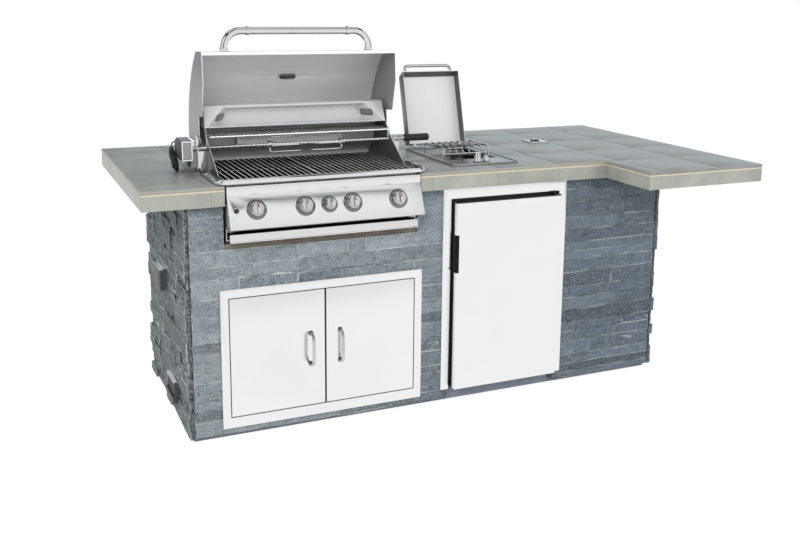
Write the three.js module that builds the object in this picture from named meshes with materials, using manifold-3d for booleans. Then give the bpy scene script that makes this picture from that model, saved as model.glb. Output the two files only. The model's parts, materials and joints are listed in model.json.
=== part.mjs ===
// An outdoor kitchen island: a stone-clad base under a tiled counter, with a built-in gas grill
// whose roll-top hood stands open, a spit with its motor, a side burner with a lid, a pair of
// cabinet doors and a small fridge. Millimetres, +X right, +Y back, +Z up. The origin lies on the
// ground under the middle of the counter.
import * as THREE from "three";
import { ConvexGeometry } from "three/addons/geometries/ConvexGeometry.js";
import { mergeVertices } from "three/addons/utils/BufferGeometryUtils.js";
import Module from "manifold-3d";

const wasm = await Module();
wasm.setup();

// Clearances and counts used everywhere.
const seat = 0.3;
const overrun = 5;
const weldDistance = 0.001;
const roundSides = 16;
const pipeSides = 12;
const rodSides = 8;
const wireSides = 6;
const barSides = 4;
const thinSides = 5;
const bendSteps = 4;

// The counter, seen from above as a deep main part with a bar at its right front.
const counterWidth = 2494;
const counterDepth = 1350;
const counterHeight = 975;
const mainDepth = 1052;
const barWidth = 575;
const skirtHeight = 72;
const skirtThickness = 12;
const tileThickness = 13;
const tilePitch = 288.6;
const firstJoint = 243.5;
const groutWidth = 5;
const groutDepth = 2;
const trimHeight = 5;
const trimDepth = 1;

// The base under it, with a clad wall on each side.
const leftOverhang = 166;
const rightOverhang = 281;
const frontOverhang = 58;
const backOverhang = 239;
const plinthHeight = 19;
const thresholdHeight = 34;
const boardThickness = 20;
const stoneProud = 25;
const stoneLength = 480;
const backStoneLength = 640;
const stoneJoint = 3;
const courseHeight = 84;
const frontRelief = 9;
const endRelief = 15;
const courseVaryShare = 0.22;
const stoneVaryShare = 0.3;
const frameTube = 30;
const lowRailBelowSill = 34;

// Fittings on the left wall.
const outletFromFront = 306;
const outletWidth = 124;
const outletBottom = 508;
const outletHeight = 89;
const outletDepth = 14;
const outletCoverDepth = 14;
const outletHingeRadius = 4;
const ventFromFront = 178;
const ventWidth = 140;
const ventBottom = 104;
const ventHeight = 72;
const ventDepth = 12;
const ventSillProud = 18;
const ventSillHeight = 14;
const ventSlots = 4;

// The umbrella hole in the bar.
const umbrellaFromLeft = 1927;
const umbrellaFromMainFront = 595;
const umbrellaPlate = 92;
const umbrellaPlateThickness = 4;
const umbrellaBore = 45;
const umbrellaSleeveWall = 2;
const umbrellaCollarHeight = 9;
const umbrellaCollarWall = 7;
const umbrellaSleeveLength = 95;

// The grill's firebox. Depths run from the front of the base, heights from the counter top.
const grillFromBaseLeft = 509.5;
const grillCutHalf = 384;
const grillCutBack = 500;
const grillOpeningDrop = 241;
const fireboxHalf = 375;
const fireboxSheet = 3;
const fireboxFront = -24;
const fireboxBack = 473;
const fireboxFloor = -209;
const fireboxFrontTop = 10;
const sideFrontTop = 15;
const sideSlopeStart = 80;
const sideKneeDepth = 228;
const sideKneeTop = 108;
const sideShoulder = 283;
const fireboxTop = 165;
const fireboxBackTop = 403;
const shoulderDepth = 418;
const shoulderHeight = 65;
const backLedgeHeight = 25;
const runnerWidth = 20;
const runnerThickness = 3;
const lipDrop = 175;
const lipWidth = 22;
const lipFall = 6;
const grateLedgeWidth = 15;
const tamerLedgeDrop = 50;

// Grates, flame tamer, burners.
const grateHeight = 10;
const grateBars = 17;
const grateBarWidth = 5.5;
const grateRail = 9;
const grateRibWidth = 8;
const grateRibDepth = 4;
const grateSplit = 2;
const tamerHeight = 20;
const tamerRidges = 7;
const tamerSheet = 2.5;
const tamerFrontGap = 8;
const burnerRadius = 14;
const burnerDrop = 95;
const burnerEnd = 430;
const manifoldRadius = 10;
const manifoldDepth = -45;
const manifoldDrop = 104;
const manifoldReach = 330;
const valveRadius = 9;
const stemRadius = 4;
const stemClear = 0.5;

// The rim rails round the head, the side housings with the hood's pivots and rubber stops.
const railRadius = 11;
const railDepth = -46;
const railBend = 24;
const sideRailOut = 403;
const rimPlate = 3;
const rimPlateDrop = 3;
const housingFront = 240;
const housingBack = 480;
const housingOut = 415;
const housingHeight = 84;
const pivotDepth = 318;
const pivotHeight = 118;
const pivotPinRadius = 6;
const pivotBracketGap = 3;
const pivotBracketThickness = 6;
const pivotBracketHalf = 17;
const stopDepth = 356;
const stopLength = 26;
const stopWidth = 26;

// The lamp box behind the spit.
const baffleHalf = 372;
const baffleFrontDepth = 322;
const baffleTop = 245;
const baffleBackTopDepth = 378;
const bafflePocketInset = 75;
const bafflePocketTopDrop = 6;
const bafflePanelDepth = 361;
const bafflePanelTopDrop = 14;
const bafflePanelBottomHalf = 297;
const bafflePocketRise = 4;
const bafflePocketSide = 5;
const baffleSheet = 2;
const lampWidth = 58;
const lampHeight = 30;
const lampBezel = 4;
const lampThickness = 5;

// Control panel and knobs.
const panelHalf = 378.5;
const panelSheet = 2;
const panelLipDepth = -62;
const panelLipTop = -3;
const panelLipBottom = -34;
const panelStep = 2;
const panelFootDepth = -109;
const panelFootDrop = 151;
const panelReturnDepth = -70;
const panelReturnDrop = 158;
const knobDown = 57.5;
const knobOffset1 = -276;
const knobOffset2 = -93;
const knobOffset3 = 0;
const knobOffset4 = 92;
const knobOffset5 = 277;
const knobRadius = 26;
const smallKnobShare = 0.84;
const bezelRadius = 37;
const bezelHeight = 6;
const knobHeight = 30;
const knobSkirtHeight = 7.5;
const knobBlade = 9;
const knobBladeRise = 10;
const knobBore = 5;
const knobBoreDepth = 12;
const knobLift = 1;
const igniterOffset = -350;
const igniterDown = 58;
const igniterRadius = 8.5;
const igniterHeight = 9;
const igniterRound = 0.9;
const igniterCollar = 4;
const igniterCollarHeight = 3;

// Drip tray and sill.
const trayStripHalf = 370;
const trayStripDepth = -60;
const trayStripTop = -179;
const trayStripThickness = 3;
const trayLip = 8;
const trayHalf = 366;
const trayFront = -54;
const trayBack = 440;
const trayDepth = 20;
const traySheet = 2;
const sillHeight = 19;
const sillFront = -20;
const sillBack = 60;

// Back burner and warming rack.
const backBurnerHalf = 222;
const backBurnerBottom = 67;
const backBurnerTop = 123;
const backBurnerFace = 395;
const backBurnerFlange = 4;
const backBurnerBodyInset = 5;
const backBurnerBack = 440;
const backBurnerTileInset = 11;
const backBurnerTileDepth = 3;
const rackFront = 225;
const rackBack = 395;
const rackHeight = 137;
const rackHalf = 368;
const rackRods = 19;
const rackRodRadius = 2;
const rackFrameRadius = 3;
const rackPinRadius = 3;
const rackPinLength = 12;
const rackPinFront = 278;
const rackPinBack = 380;

// The hood, drawn closed and then swung open about its pivots.
const hoodHalf = 391;
const hoodSheet = 2;
const hoodLipDepth = -21;
const hoodLipHeight = 26;
const hoodFaceLean = 2;
const hoodFaceHeight = 100;
const hoodArcRadius = 409;
const hoodArcSteps = 18;
const hoodBackEdge = 16;
const hoodCapMiddle = 100;
const hoodCapMiddleHeight = 17;
const hoodNotchDepth = 223;
const hoodNotchBottom = 51;
const hoodNotchSlant = 5;
const hoodNotchTop = 111;
const hoodLobeRadius = 16;
const hoodLobeSteps = 8;
const hoodLobeTurn = (Math.PI * 3) / 4;
const hoodFlange = 12;
const hoodOpenTurn = Math.PI / 2;
const hoodHandleRadius = 14;
const hoodHandleHeight = 75;
const hoodHandleStandoff = 77;
const hoodHandleReach = 294;
const hoodHandleBend = 65;
const hoodHandleRingAt = 203;
const hoodHandleRingRadius = 16.5;
const hoodHandleRingLength = 12;
const gaugeAlong = 88;
const gaugeWidth = 69;
const gaugeHeight = 24;
const gaugeInner = 7;
const gaugeOuterWidth = 84;
const gaugeOuterHeight = 38;
const gaugeOuter = 4;
const gaugeNeckWidth = 50;
const gaugeNeckHeight = 12;

// The spit with its forks, handle and motor.
const spitDepth = 252;
const spitHeight = 95;
const spitRadius = 6;
const spitSlotClear = 1.5;
const spitCollarRadius = 10;
const spitCollarLength = 9;
const spitFerruleRadius = 9;
const spitFerruleAt = 436;
const spitFerruleLength = 7;
const spitHandleRadius = 15;
const spitHandleDome = 6.5;
const spitHandleTip = 2.2;
const spitHandleLength = 113;
const spitHandleFlutes = 8;
const spitHandleFlute = 3;
const spitHandleFluteStart = 9;
const spitHandleFluteLift = 1;
const forkLeftAt = -128.5;
const forkRightAt = 168.5;
const forkHubRadius = 12;
const forkHubLength = 26;
const forkReach = 29;
const forkBend = 9;
const forkTine = 130;
const forkTip = 22;
const forkWire = 2.8;
const forkPoint = 0.6;
const forkTines = 4;
const forkBendSteps = 2;
const forkScrewRadius = 4;
const forkScrewLength = 24;
const motorLeft = -479.5;
const motorRight = -439.5;
const motorFront = 202;
const motorBack = 345;
const motorBottom = 55;
const motorFrontTop = 129;
const motorRidgeDepth = 300;
const motorRidgeTop = 133;
const motorBackTop = 115;
const motorBossRadius = 12;
const motorBossLength = 5;
const bracketFront = 225;
const bracketBack = 280;
const bracketBottom = 25;
const bracketTop = 85;
const bracketLip = 15;

// The cord: its strain relief, the free lead, the hank beside the motor, and the plug.
const cordRadius = 2.5;
const hankSides = 6;
const reliefAcross = -447.5;
const reliefHeight = 85;
const reliefLength = 22;
const reliefBase = 6.5;
const reliefTip = 4;
const hankAcross = -483;
const hankLayerPitch = 5.8;
const hankTurnPitch = 5.8;
const hankFoldDepth = 289;
const hankFoldHeight = 28;
const hankFoldRadius = 26;
const hankRun = 93;
const hankLean = 0.35;
const hankTurns = 6;
const hankRunSteps = 4;
const hankFoldSteps = 8;
const gapSamples = 4;
const leadSteps = 9;
const hankWaist = 2.5;
const hankEndLength = 5.5;
const plugAside = 12;
const plugWidth = 18;
const plugCorner = 4.5;
const plugHeight = 28;
const plugLength = 34;
const plugNeckLength = 10;
const plugNeckStart = 3.5;
const plugNeckRadius = 6;
const plugSink = 1;
const prongLength = 16;
const prongWidth = 1.6;
const prongHeight = 6.4;
const prongSpread = 6.35;
const leadRoute = [
  [-447.5, 367.6, 85],
  [-447.5, 373.5, 85],
  [-450, 389, 90],
  [-457.5, 401.5, 98],
  [-468, 406.5, 101.5],
  [-478, 400, 98],
  [-482.5, 389.5, 92.5],
];

// The side burner. Its width is centred on its own line.
const sideBurnerFromBaseLeft = 1222;
const burnerTrayHalf = 150;
const burnerTrayFront = 30;
const burnerTrayBack = 500;
const burnerTrayThickness = 6;
const burnerTrayLip = 3;
const burnerPanHalf = 124;
const burnerPanFront = 153;
const burnerPanBack = 477;
const burnerPanDepth = 25;
const burnerPanSheet = 2;
const burnerCutClear = 3;
const burnerHeadDepth = 302;
const burnerHeadRadius = 45;
const burnerHeadHeight = 34;
const burnerHeadRim = 8.5;
const burnerCapRadius = 34;
const burnerCapHeight = 7;
const burnerNeckRadius = 24;
const burnerGrateHalf = 109;
const burnerGrateFront = 210;
const burnerGrateBack = 395;
const burnerGrateTop = 50;
const burnerGrateRods = 8;
const burnerGrateRadius = 3;
const burnerGrateCorner = 12;
const wireBendSteps = 1;
const burnerTieRadius = 3;
const burnerTieDrop = 26;
const sideKnobDepth = 80;
const sideKnobOffset1 = -12;
const sideKnobOffset2 = 27;
const sideKnobRadius1 = 15;
const sideKnobRadius2 = 13;
const sideKnobHeight1 = 36;
const sideKnobHeight2 = 24;
const sideKnobSkirt = 3;
const sideKnobSkirtHeight = 5;
const sideKnobRound = 2.8;
const lidHalf = 138;
const lidSheet = 2;
const lidHingeDepth = 490;
const lidHingeHeight = 17;
const lidHingeRadius = 7;
const lidKnuckleRadius = 6;
const lidHingeLength = 15;
const lidHingeInset = 18;
const lidLength = 327;
const lidBackGap = 10;
const lidDepth = 48;
const lidSlope = 18;
const lidDrop = 7.5;
const lidOpenTurn = 1.8413;
const lidHandleRadius = 7;
const lidHandleHalf = 112;
const lidHandleBend = 20;
const lidFerruleRadius = 9;
const lidFerruleLength = 5;
const lidHandleStandoff = 42;

// Cabinet doors under the grill.
const doorFrameHalf = 405.5;
const doorFrameBottom = 42;
const doorFrameBelowSill = 151;
const doorStile = 31;
const doorBottomRail = 41;
const doorTopRail = 33;
const doorFlange = 2;
const doorFrameDepth = 60;
const doorGap = 0.8;
const doorThickness = 18;
const doorSheet = 2;
const doorHandleOffset = 59;
const doorHandleBelowMiddle = 1.5;
const doorHandleLength = 143;
const doorHandleRadius = 6;
const doorHandleStandoff = 36;
const doorHandleBend = 26;
const doorBendSteps = 3;
const doorFootRadius = 10;
const doorFootHeight = 7;

// The fridge.
const fridgeFromBaseLeft = 1292.5;
const fridgeTrimHalf = 287;
const fridgeOpeningHalf = 251.5;
const fridgeOpeningBottom = 55;
const fridgeOpeningBelowTop = 46;
const fridgeCabinetBack = 540;
const fridgeCabinetFront = -10;
const fridgeWall = 26;
const fridgeClear = 2;
const fridgeDoorHalf = 243;
const fridgeDoorBottom = 62;
const fridgeDoorBelowOpening = 14;
const fridgeDoorFront = -60;
const fridgeSealGap = 2;
const fridgeGripBelowTop = 285;
const fridgeGripHeight = 156;
const fridgeGripDepth = 24;
const fridgeGripWidth = 13;
const fridgeHingeInset = 12;
const fridgeBracketWidth = 26;
const fridgeBracketThickness = 4;
const fridgePinRadius = 4;
const fridgePinLength = 10;
const fridgePinClear = 0.5;
const fridgeFootWidth = 60;
const fridgeFootDepth = 40;
const fridgeShelfHeight = 430;
const fridgeShelfThickness = 8;
const fridgeShelfSlots = 9;
const fridgeShelfFront = 40;
const fridgeShelfRail = 12;
const fridgeRib = 8;
const fridgeLinerDepth = 20;

// Lines that follow from the sizes above.
const left = -counterWidth / 2;
const right = counterWidth / 2;
const barFront = -counterDepth / 2;
const back = counterDepth / 2;
const mainFront = back - mainDepth;
const barLeft = right - barWidth;
const wallTop = counterHeight - skirtHeight;
const baseLeft = left + leftOverhang;
const baseRight = right - rightOverhang;
const baseFront = mainFront + frontOverhang;
const baseBack = back - backOverhang;
const baseWidth = baseRight - baseLeft;
const baseDepth = baseBack - baseFront;
const grillAcross = baseLeft + grillFromBaseLeft;
const sideBurnerAcross = baseLeft + sideBurnerFromBaseLeft;
const fridgeAcross = baseLeft + fridgeFromBaseLeft;
const sillLine = counterHeight - grillOpeningDrop;
const lowRailHeight = sillLine - lowRailBelowSill;
const doorFrameTop = sillLine - doorFrameBelowSill;
const doorMiddle = (doorFrameBottom + doorBottomRail + doorFrameTop - doorTopRail) / 2;
const doorHandleBottom = doorMiddle - doorHandleBelowMiddle - doorHandleLength / 2;
const fridgeOpeningTop = wallTop - fridgeOpeningBelowTop;
const fridgeDoorTop = fridgeOpeningTop - fridgeDoorBelowOpening;
const fridgeGripBottom = fridgeDoorTop - fridgeGripBelowTop;
const stoneFace = -stoneProud;
const innerHalf = fireboxHalf - fireboxSheet;

// Materials, one to each finish.
function finish(color, roughness, metalness) {
  return new THREE.MeshStandardMaterial({ color, roughness, metalness });
}

const steel = finish(0xb9bcbe, 0.32, 1);
const darkSteel = finish(0x5f6265, 0.45, 1);
const chrome = finish(0xdfe2e4, 0.12, 1);
const castIron = finish(0x2b2a29, 0.7, 0.5);
const stone = finish(0x66706f, 0.85, 0);
const tile = finish(0x55605c, 0.55, 0);
const cement = finish(0x9a8f7c, 0.9, 0);
const plinthPaint = finish(0x5b6775, 0.7, 0);
const rawFrame = finish(0x7d8084, 0.5, 0.8);
const blackPlastic = finish(0x161718, 0.5, 0);
const grayPlastic = finish(0x8f9496, 0.6, 0);
const rubber = finish(0x101010, 0.8, 0);
const ceramic = finish(0xc9b8a0, 0.8, 0);
const glass = finish(0xe8e2cf, 0.1, 0);
const brass = finish(0x9c8a5a, 0.4, 0.9);
const fridgeWhite = finish(0xe4e6e6, 0.4, 0);

// A solid from any closed three.js geometry.
function solid(geometry) {
  const flat = geometry.index ? geometry.toNonIndexed() : geometry;
  const bare = new THREE.BufferGeometry();
  bare.setAttribute("position", flat.getAttribute("position"));
  const merged = mergeVertices(bare, weldDistance);
  const corners = merged.index.array;
  const kept = [];
  for (let i = 0; i < corners.length; i += 3) {
    const [a, b, c] = [corners[i], corners[i + 1], corners[i + 2]];
    if (a !== b && b !== c && c !== a) kept.push(a, b, c);
  }
  const vertProperties = merged.attributes.position.array;
  const closed = (order) => {
    const triVerts = new Uint32Array(order);
    return new wasm.Manifold(new wasm.Mesh({ numProp: 3, vertProperties, triVerts }));
  };
  const made = closed(kept);
  return made.volume() < 0 ? closed(kept.reverse()) : made;
}

// One solid from several.
function union(...solids) {
  return solids.flat().reduce((all, one) => all.add(one));
}

// A block between two corners.
function box(x0, x1, y0, y1, z0, z1) {
  const geometry = new THREE.BoxGeometry(x1 - x0, y1 - y0, z1 - z0);
  return solid(geometry.translate((x0 + x1) / 2, (y0 + y1) / 2, (z0 + z1) / 2));
}

// A block that is alike to the left and the right of x = 0.
function centredBox(half, y0, y1, z0, z1) {
  return box(-half, half, y0, y1, z0, z1);
}

const unitX = new THREE.Vector3(1, 0, 0);
const unitY = new THREE.Vector3(0, 1, 0);
const unitZ = new THREE.Vector3(0, 0, 1);

// An outline extruded by a depth from a start, in the frame that three directions give.
function prism(outline, depth, start, ...directions) {
  const shape = new THREE.Shape(outline.map(([u, v]) => new THREE.Vector2(u, v)));
  const geometry = new THREE.ExtrudeGeometry(shape, { depth, bevelEnabled: false });
  geometry.applyMatrix4(new THREE.Matrix4().makeBasis(...directions));
  return solid(geometry.translate(start.x, start.y, start.z));
}

// Outlines in the planes YZ, XZ and XY.
function prismX(outline, x0, x1) {
  return prism(outline, x1 - x0, unitX.clone().multiplyScalar(x0), unitY, unitZ, unitX);
}

function prismY(outline, y0, y1) {
  const start = unitY.clone().multiplyScalar(y1);
  return prism(outline, y1 - y0, start, unitX, unitZ, unitY.clone().negate());
}

function prismZ(outline, z0, z1) {
  return prism(outline, z1 - z0, unitZ.clone().multiplyScalar(z0), unitX, unitY, unitZ);
}

// The geometry of a solid.
function geometryOf(made) {
  const { vertProperties, triVerts } = made.getMesh();
  const geometry = new THREE.BufferGeometry();
  geometry.setAttribute("position", new THREE.BufferAttribute(vertProperties, 3));
  geometry.setIndex(new THREE.BufferAttribute(triVerts, 1));
  return geometry;
}

// The same solid moved by a matrix, shifted along X, spun about an axis, or leant back about X and
// then put at a place.
function moved(made, matrix) {
  return solid(geometryOf(made).applyMatrix4(matrix));
}

function shifted(made, x) {
  return moved(made, new THREE.Matrix4().makeTranslation(x, 0, 0));
}

function spun(made, axis, angle) {
  return moved(made, new THREE.Matrix4().makeRotationAxis(axis, angle));
}

function leant(made, angle, x, y, z) {
  return moved(made, new THREE.Matrix4().makeRotationX(angle).setPosition(x, y, z));
}

// The same solid mirrored to the other side of x = 0, and both together.
function mirrored(one) {
  return moved(one, new THREE.Matrix4().makeScale(-1, 1, 1));
}

function pair(one) {
  return union(one, mirrored(one));
}

// A round bar from one point to another, which may taper.
function rod(from, to, radius, sides = rodSides, endRadius = radius) {
  const a = new THREE.Vector3(...from);
  const b = new THREE.Vector3(...to);
  const along = b.clone().sub(a);
  const geometry = new THREE.CylinderGeometry(endRadius, radius, along.length(), sides);
  geometry.applyQuaternion(new THREE.Quaternion().setFromUnitVectors(unitY, along.normalize()));
  const middle = a.add(b).divideScalar(2);
  return solid(geometry.translate(middle.x, middle.y, middle.z));
}

// Round bars along X, Y and Z.
function rodX(x0, x1, y, z, radius, sides) {
  return rod([x0, y, z], [x1, y, z], radius, sides);
}

function rodY(x, y0, y1, z, radius, sides, endRadius) {
  return rod([x, y0, z], [x, y1, z], radius, sides, endRadius);
}

function rodZ(x, y, z0, z1, radius, sides, endRadius) {
  return rod([x, y, z0], [x, y, z1], radius, sides, endRadius);
}

// A turned piece round +Z from a profile of radii and heights.
function turned(profile, sides = roundSides) {
  const geometry = new THREE.LatheGeometry(profile.map(([r, h]) => new THREE.Vector2(r, h)), sides);
  return solid(geometry.rotateX(Math.PI / 2));
}

// A hull round a few corners.
function hull(corners) {
  return solid(new ConvexGeometry(corners.map((corner) => new THREE.Vector3(...corner))));
}

// A closed outline round a line of points, thickened to its left.
function band(points, thickness) {
  const vectors = points.map(([u, v]) => new THREE.Vector2(u, v));
  const sideOf = (i) => {
    const along = vectors[i + 1].clone().sub(vectors[i]).normalize();
    return new THREE.Vector2(-along.y, along.x);
  };
  const shifted = vectors.map((point, i) => {
    const before = sideOf(Math.max(i - 1, 0));
    const after = sideOf(Math.min(i, vectors.length - 2));
    const shift = before.clone().add(after).divideScalar(1 + before.dot(after));
    return point.clone().addScaledVector(shift, thickness);
  });
  return [...points, ...shifted.reverse().map((point) => [point.x, point.y])];
}

// Points of an arc in a plane, from one angle to another.
function arc(u, v, radius, from, to, steps) {
  return Array.from({ length: steps + 1 }, (_, i) => {
    const angle = from + ((to - from) * i) / steps;
    return [u + radius * Math.cos(angle), v + radius * Math.sin(angle)];
  });
}

// An outline with straight sides and round ends, centred.
function oblong(width, height, steps = wireSides) {
  const reach = (width - height) / 2;
  return [
    ...arc(reach, 0, height / 2, -Math.PI / 2, Math.PI / 2, steps),
    ...arc(-reach, 0, height / 2, Math.PI / 2, (Math.PI * 3) / 2, steps),
  ];
}

// A centred rectangle with its corners cut off.
function clipped(width, height, corner) {
  const half = width / 2;
  const tall = height / 2;
  return [
    [half, corner - tall],
    [half, tall - corner],
    [half - corner, tall],
    [corner - half, tall],
    [-half, tall - corner],
    [-half, corner - tall],
    [corner - half, -tall],
    [half - corner, -tall],
  ];
}

// A route whose rings stand exactly at its points, square to the way through each.
class Route extends THREE.Curve {
  constructor(points) {
    super();
    this.points = points.map((point) => new THREE.Vector3(...point));
  }

  getPointAt(u, target = new THREE.Vector3()) {
    return target.copy(this.points[Math.round(u * (this.points.length - 1))]);
  }

  getTangentAt(u, target = new THREE.Vector3()) {
    const last = this.points.length - 1;
    const i = Math.round(u * last);
    const step = (from) => this.points[from + 1].clone().sub(this.points[from]).normalize();
    const into = step(Math.max(i - 1, 0));
    return target.copy(into.add(step(Math.min(i, last - 1))).normalize());
  }
}

// A round bar or tube along a route, solid from end to end.
function routed(points, radius, sides = rodSides) {
  const ring = arc(0, 0, radius, 0, Math.PI * 2, sides).slice(1);
  const shape = new THREE.Shape(ring.map(([u, v]) => new THREE.Vector2(u, v)));
  const extrudePath = new Route(points);
  const steps = points.length - 1;
  return solid(new THREE.ExtrudeGeometry(shape, { steps, extrudePath, bevelEnabled: false }));
}

// A line through corners, each corner rounded to a radius.
function rounded(corners, radius, steps = bendSteps) {
  const points = corners.map((corner) => new THREE.Vector3(...corner));
  const route = [points[0]];
  for (let i = 1; i < points.length - 1; i++) {
    const into = points[i].clone().sub(points[i - 1]).normalize();
    const out = points[i + 1].clone().sub(points[i]).normalize();
    const angle = into.angleTo(out);
    const start = points[i].clone().addScaledVector(into, -radius * Math.tan(angle / 2));
    const inward = out.clone().addScaledVector(into, -into.dot(out)).normalize();
    for (let k = 0; k <= steps; k++) {
      const turn = (angle * k) / steps;
      const point = start.clone().addScaledVector(into, radius * Math.sin(turn));
      route.push(point.addScaledVector(inward, radius * (1 - Math.cos(turn))));
    }
  }
  route.push(points[points.length - 1]);
  return route.map((point) => point.toArray());
}

// A named mesh from a solid.
function mesh(name, made, material) {
  const one = new THREE.Mesh(geometryOf(made), material.clone());
  one.name = name;
  return one;
}

// A group at a place, with its meshes.
function placed(x, y, z, ...children) {
  const group = new THREE.Group();
  group.position.set(x, y, z);
  for (const child of children.flat()) group.add(child);
  return group;
}

// A repeatable scatter between -1 and 1 for the stones.
const scatterRate1 = 127.1;
const scatterRate2 = 311.7;
const scatterRate3 = 74.7;
const scatterGain = 43758.5453;
function scatter(a, b, c) {
  const wave = Math.sin(a * scatterRate1 + b * scatterRate2 + c * scatterRate3) * scatterGain;
  return 2 * (wave - Math.floor(wave)) - 1;
}

// Cuts a length into parts that vary about an even share, and gives the lines between them.
function unevenLines(length, nominal, varyShare, seed, row) {
  const count = Math.max(1, Math.round(length / nominal));
  const lines = [];
  for (let i = 0; i <= count; i++) {
    const inside = i > 0 && i < count;
    lines.push((length / count) * (i + (inside ? varyShare * scatter(seed, row, i) : 0)));
  }
  return lines;
}

// A clad wall facing -Y, its board's face at y = 0, with courses of stones of uneven depth.
function cladWall(length, boardInset, stoneReach, relief, seed, openings, nominal = stoneLength) {
  const bottom = plinthHeight + seat;
  const board = box(boardInset, length - boardInset, 0, boardThickness, bottom, wallTop);
  const stones = [];
  const courses = unevenLines(wallTop - bottom, courseHeight, courseVaryShare, seed, 0);
  for (let row = 0; row < courses.length - 1; row++) {
    const from = -stoneReach;
    const ends = unevenLines(length + 2 * stoneReach, nominal, stoneVaryShare, seed, row + 1);
    for (let i = 0; i < ends.length - 1; i++) {
      const proud = stoneProud - (relief * (1 + scatter(seed, row + 1, i + courses.length))) / 2;
      const startJoint = i > 0 ? stoneJoint : 0;
      const topJoint = row < courses.length - 2 ? stoneJoint : 0;
      const x0 = from + ends[i] + startJoint;
      const x1 = from + ends[i + 1];
      const z0 = bottom + courses[row];
      const z1 = bottom + courses[row + 1] - topJoint;
      stones.push(box(x0, x1, -proud, boardThickness / 2, z0, z1));
    }
  }
  const inward = boardThickness + overrun;
  const cuts = openings.map(([x0, x1, z0, z1]) => box(x0, x1, -stoneProud - overrun, inward, z0, z1));
  for (const x of [boardInset - stoneProud - inward, length - boardInset]) {
    cuts.push(box(x, x + stoneProud + inward, 0, inward, bottom - overrun, wallTop + overrun));
  }
  return union(board, stones).subtract(union(cuts));
}

// The plinth, with a threshold under the fridge.
function makePlinth() {
  const slab = box(baseLeft, baseRight, baseFront, baseBack, 0, plinthHeight);
  const halfThreshold = fridgeOpeningHalf - fridgeClear;
  const threshold = box(
    fridgeAcross - halfThreshold,
    fridgeAcross + halfThreshold,
    baseFront,
    baseFront + boardThickness,
    plinthHeight - overrun,
    plinthHeight + thresholdHeight,
  );
  return mesh("base_plinth", slab.add(threshold), plinthPaint);
}

// The welded frame inside the walls. Its front rail drops below the drip tray.
function makeFrame() {
  const x0 = baseLeft + boardThickness + seat;
  const x1 = baseRight - boardThickness - seat;
  const y0 = baseFront + boardThickness + seat;
  const y1 = baseBack - boardThickness - seat;
  const z0 = plinthHeight + seat;
  const z1 = wallTop;
  const doorRight = grillAcross + doorFrameHalf;
  const fridgeRight = fridgeAcross + fridgeOpeningHalf + fridgeClear;
  const posts = [x0, doorRight, fridgeRight, x1 - frameTube];
  const solids = [];
  for (const x of posts) {
    solids.push(box(x, x + frameTube, y0, y0 + frameTube, z0, z1));
    solids.push(box(x, x + frameTube, y1 - frameTube, y1, z0, z1));
  }
  for (const z of [z0, z1 - frameTube]) {
    solids.push(box(x0, x1, y1 - frameTube, y1, z, z + frameTube));
    for (const x of [x0, x1 - frameTube]) solids.push(box(x, x + frameTube, y0, y1, z, z + frameTube));
  }
  solids.push(box(x0, doorRight + frameTube, y0, y0 + frameTube, lowRailHeight, lowRailHeight + frameTube));
  solids.push(box(x0, doorRight + frameTube, y0, y0 + frameTube, z0, z0 + frameTube));
  solids.push(box(doorRight, x1, y0, y0 + frameTube, z1 - frameTube, z1));
  solids.push(box(doorRight, doorRight + frameTube, y0, y1, z1 - frameTube, z1));
  return mesh("steel_frame", union(solids), rawFrame);
}

// The four clad walls. The end walls carry the corner stones.
function makeWalls() {
  const doorHalf = doorFrameHalf - doorStile + doorFlange + seat;
  const doorOpening = [
    grillFromBaseLeft - doorHalf,
    grillFromBaseLeft + doorHalf,
    doorFrameBottom + doorBottomRail - doorFlange - seat,
    doorFrameTop - doorTopRail + doorFlange + seat,
  ];
  const grillOpening = [
    grillFromBaseLeft - grillCutHalf,
    grillFromBaseLeft + grillCutHalf,
    sillLine,
    wallTop + overrun,
  ];
  const fridgeHalf = fridgeOpeningHalf + doorFlange + seat;
  const fridgeOpening = [
    fridgeFromBaseLeft - fridgeHalf,
    fridgeFromBaseLeft + fridgeHalf,
    plinthHeight - overrun,
    fridgeOpeningTop + doorFlange + seat,
  ];
  const openings = [doorOpening, grillOpening, fridgeOpening];
  const endInset = boardThickness + seat;
  const frontSolid = cladWall(baseWidth, seat, -seat, frontRelief, 1, openings);
  const front = placed(baseLeft, baseFront, 0, mesh("stone_front", frontSolid, stone));
  const backSolid = cladWall(baseWidth, seat, -seat, frontRelief, 2, [], backStoneLength);
  const backWall = placed(baseRight, baseBack, 0, mesh("stone_back", backSolid, stone));
  backWall.rotation.z = Math.PI;
  const outletEnd = baseDepth - outletFromFront;
  const ventEnd = baseDepth - ventFromFront;
  const leftOpenings = [
    [outletEnd - outletWidth, outletEnd, outletBottom, outletBottom + outletHeight],
    [ventEnd - ventWidth, ventEnd, ventBottom, ventBottom + ventHeight],
  ].map(([x0, x1, z0, z1]) => [x0 - seat, x1 + seat, z0 - seat, z1 + seat]);
  const leftSolid = cladWall(baseDepth, endInset, stoneProud, endRelief, 3, leftOpenings);
  const leftWall = placed(baseLeft, baseBack, 0, mesh("stone_left", leftSolid, stone));
  leftWall.rotation.z = -Math.PI / 2;
  const rightSolid = cladWall(baseDepth, endInset, stoneProud, endRelief, 4, []);
  const rightWall = placed(baseRight, baseFront, 0, mesh("stone_right", rightSolid, stone));
  rightWall.rotation.z = Math.PI / 2;
  return [front, backWall, leftWall, rightWall];
}

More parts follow.
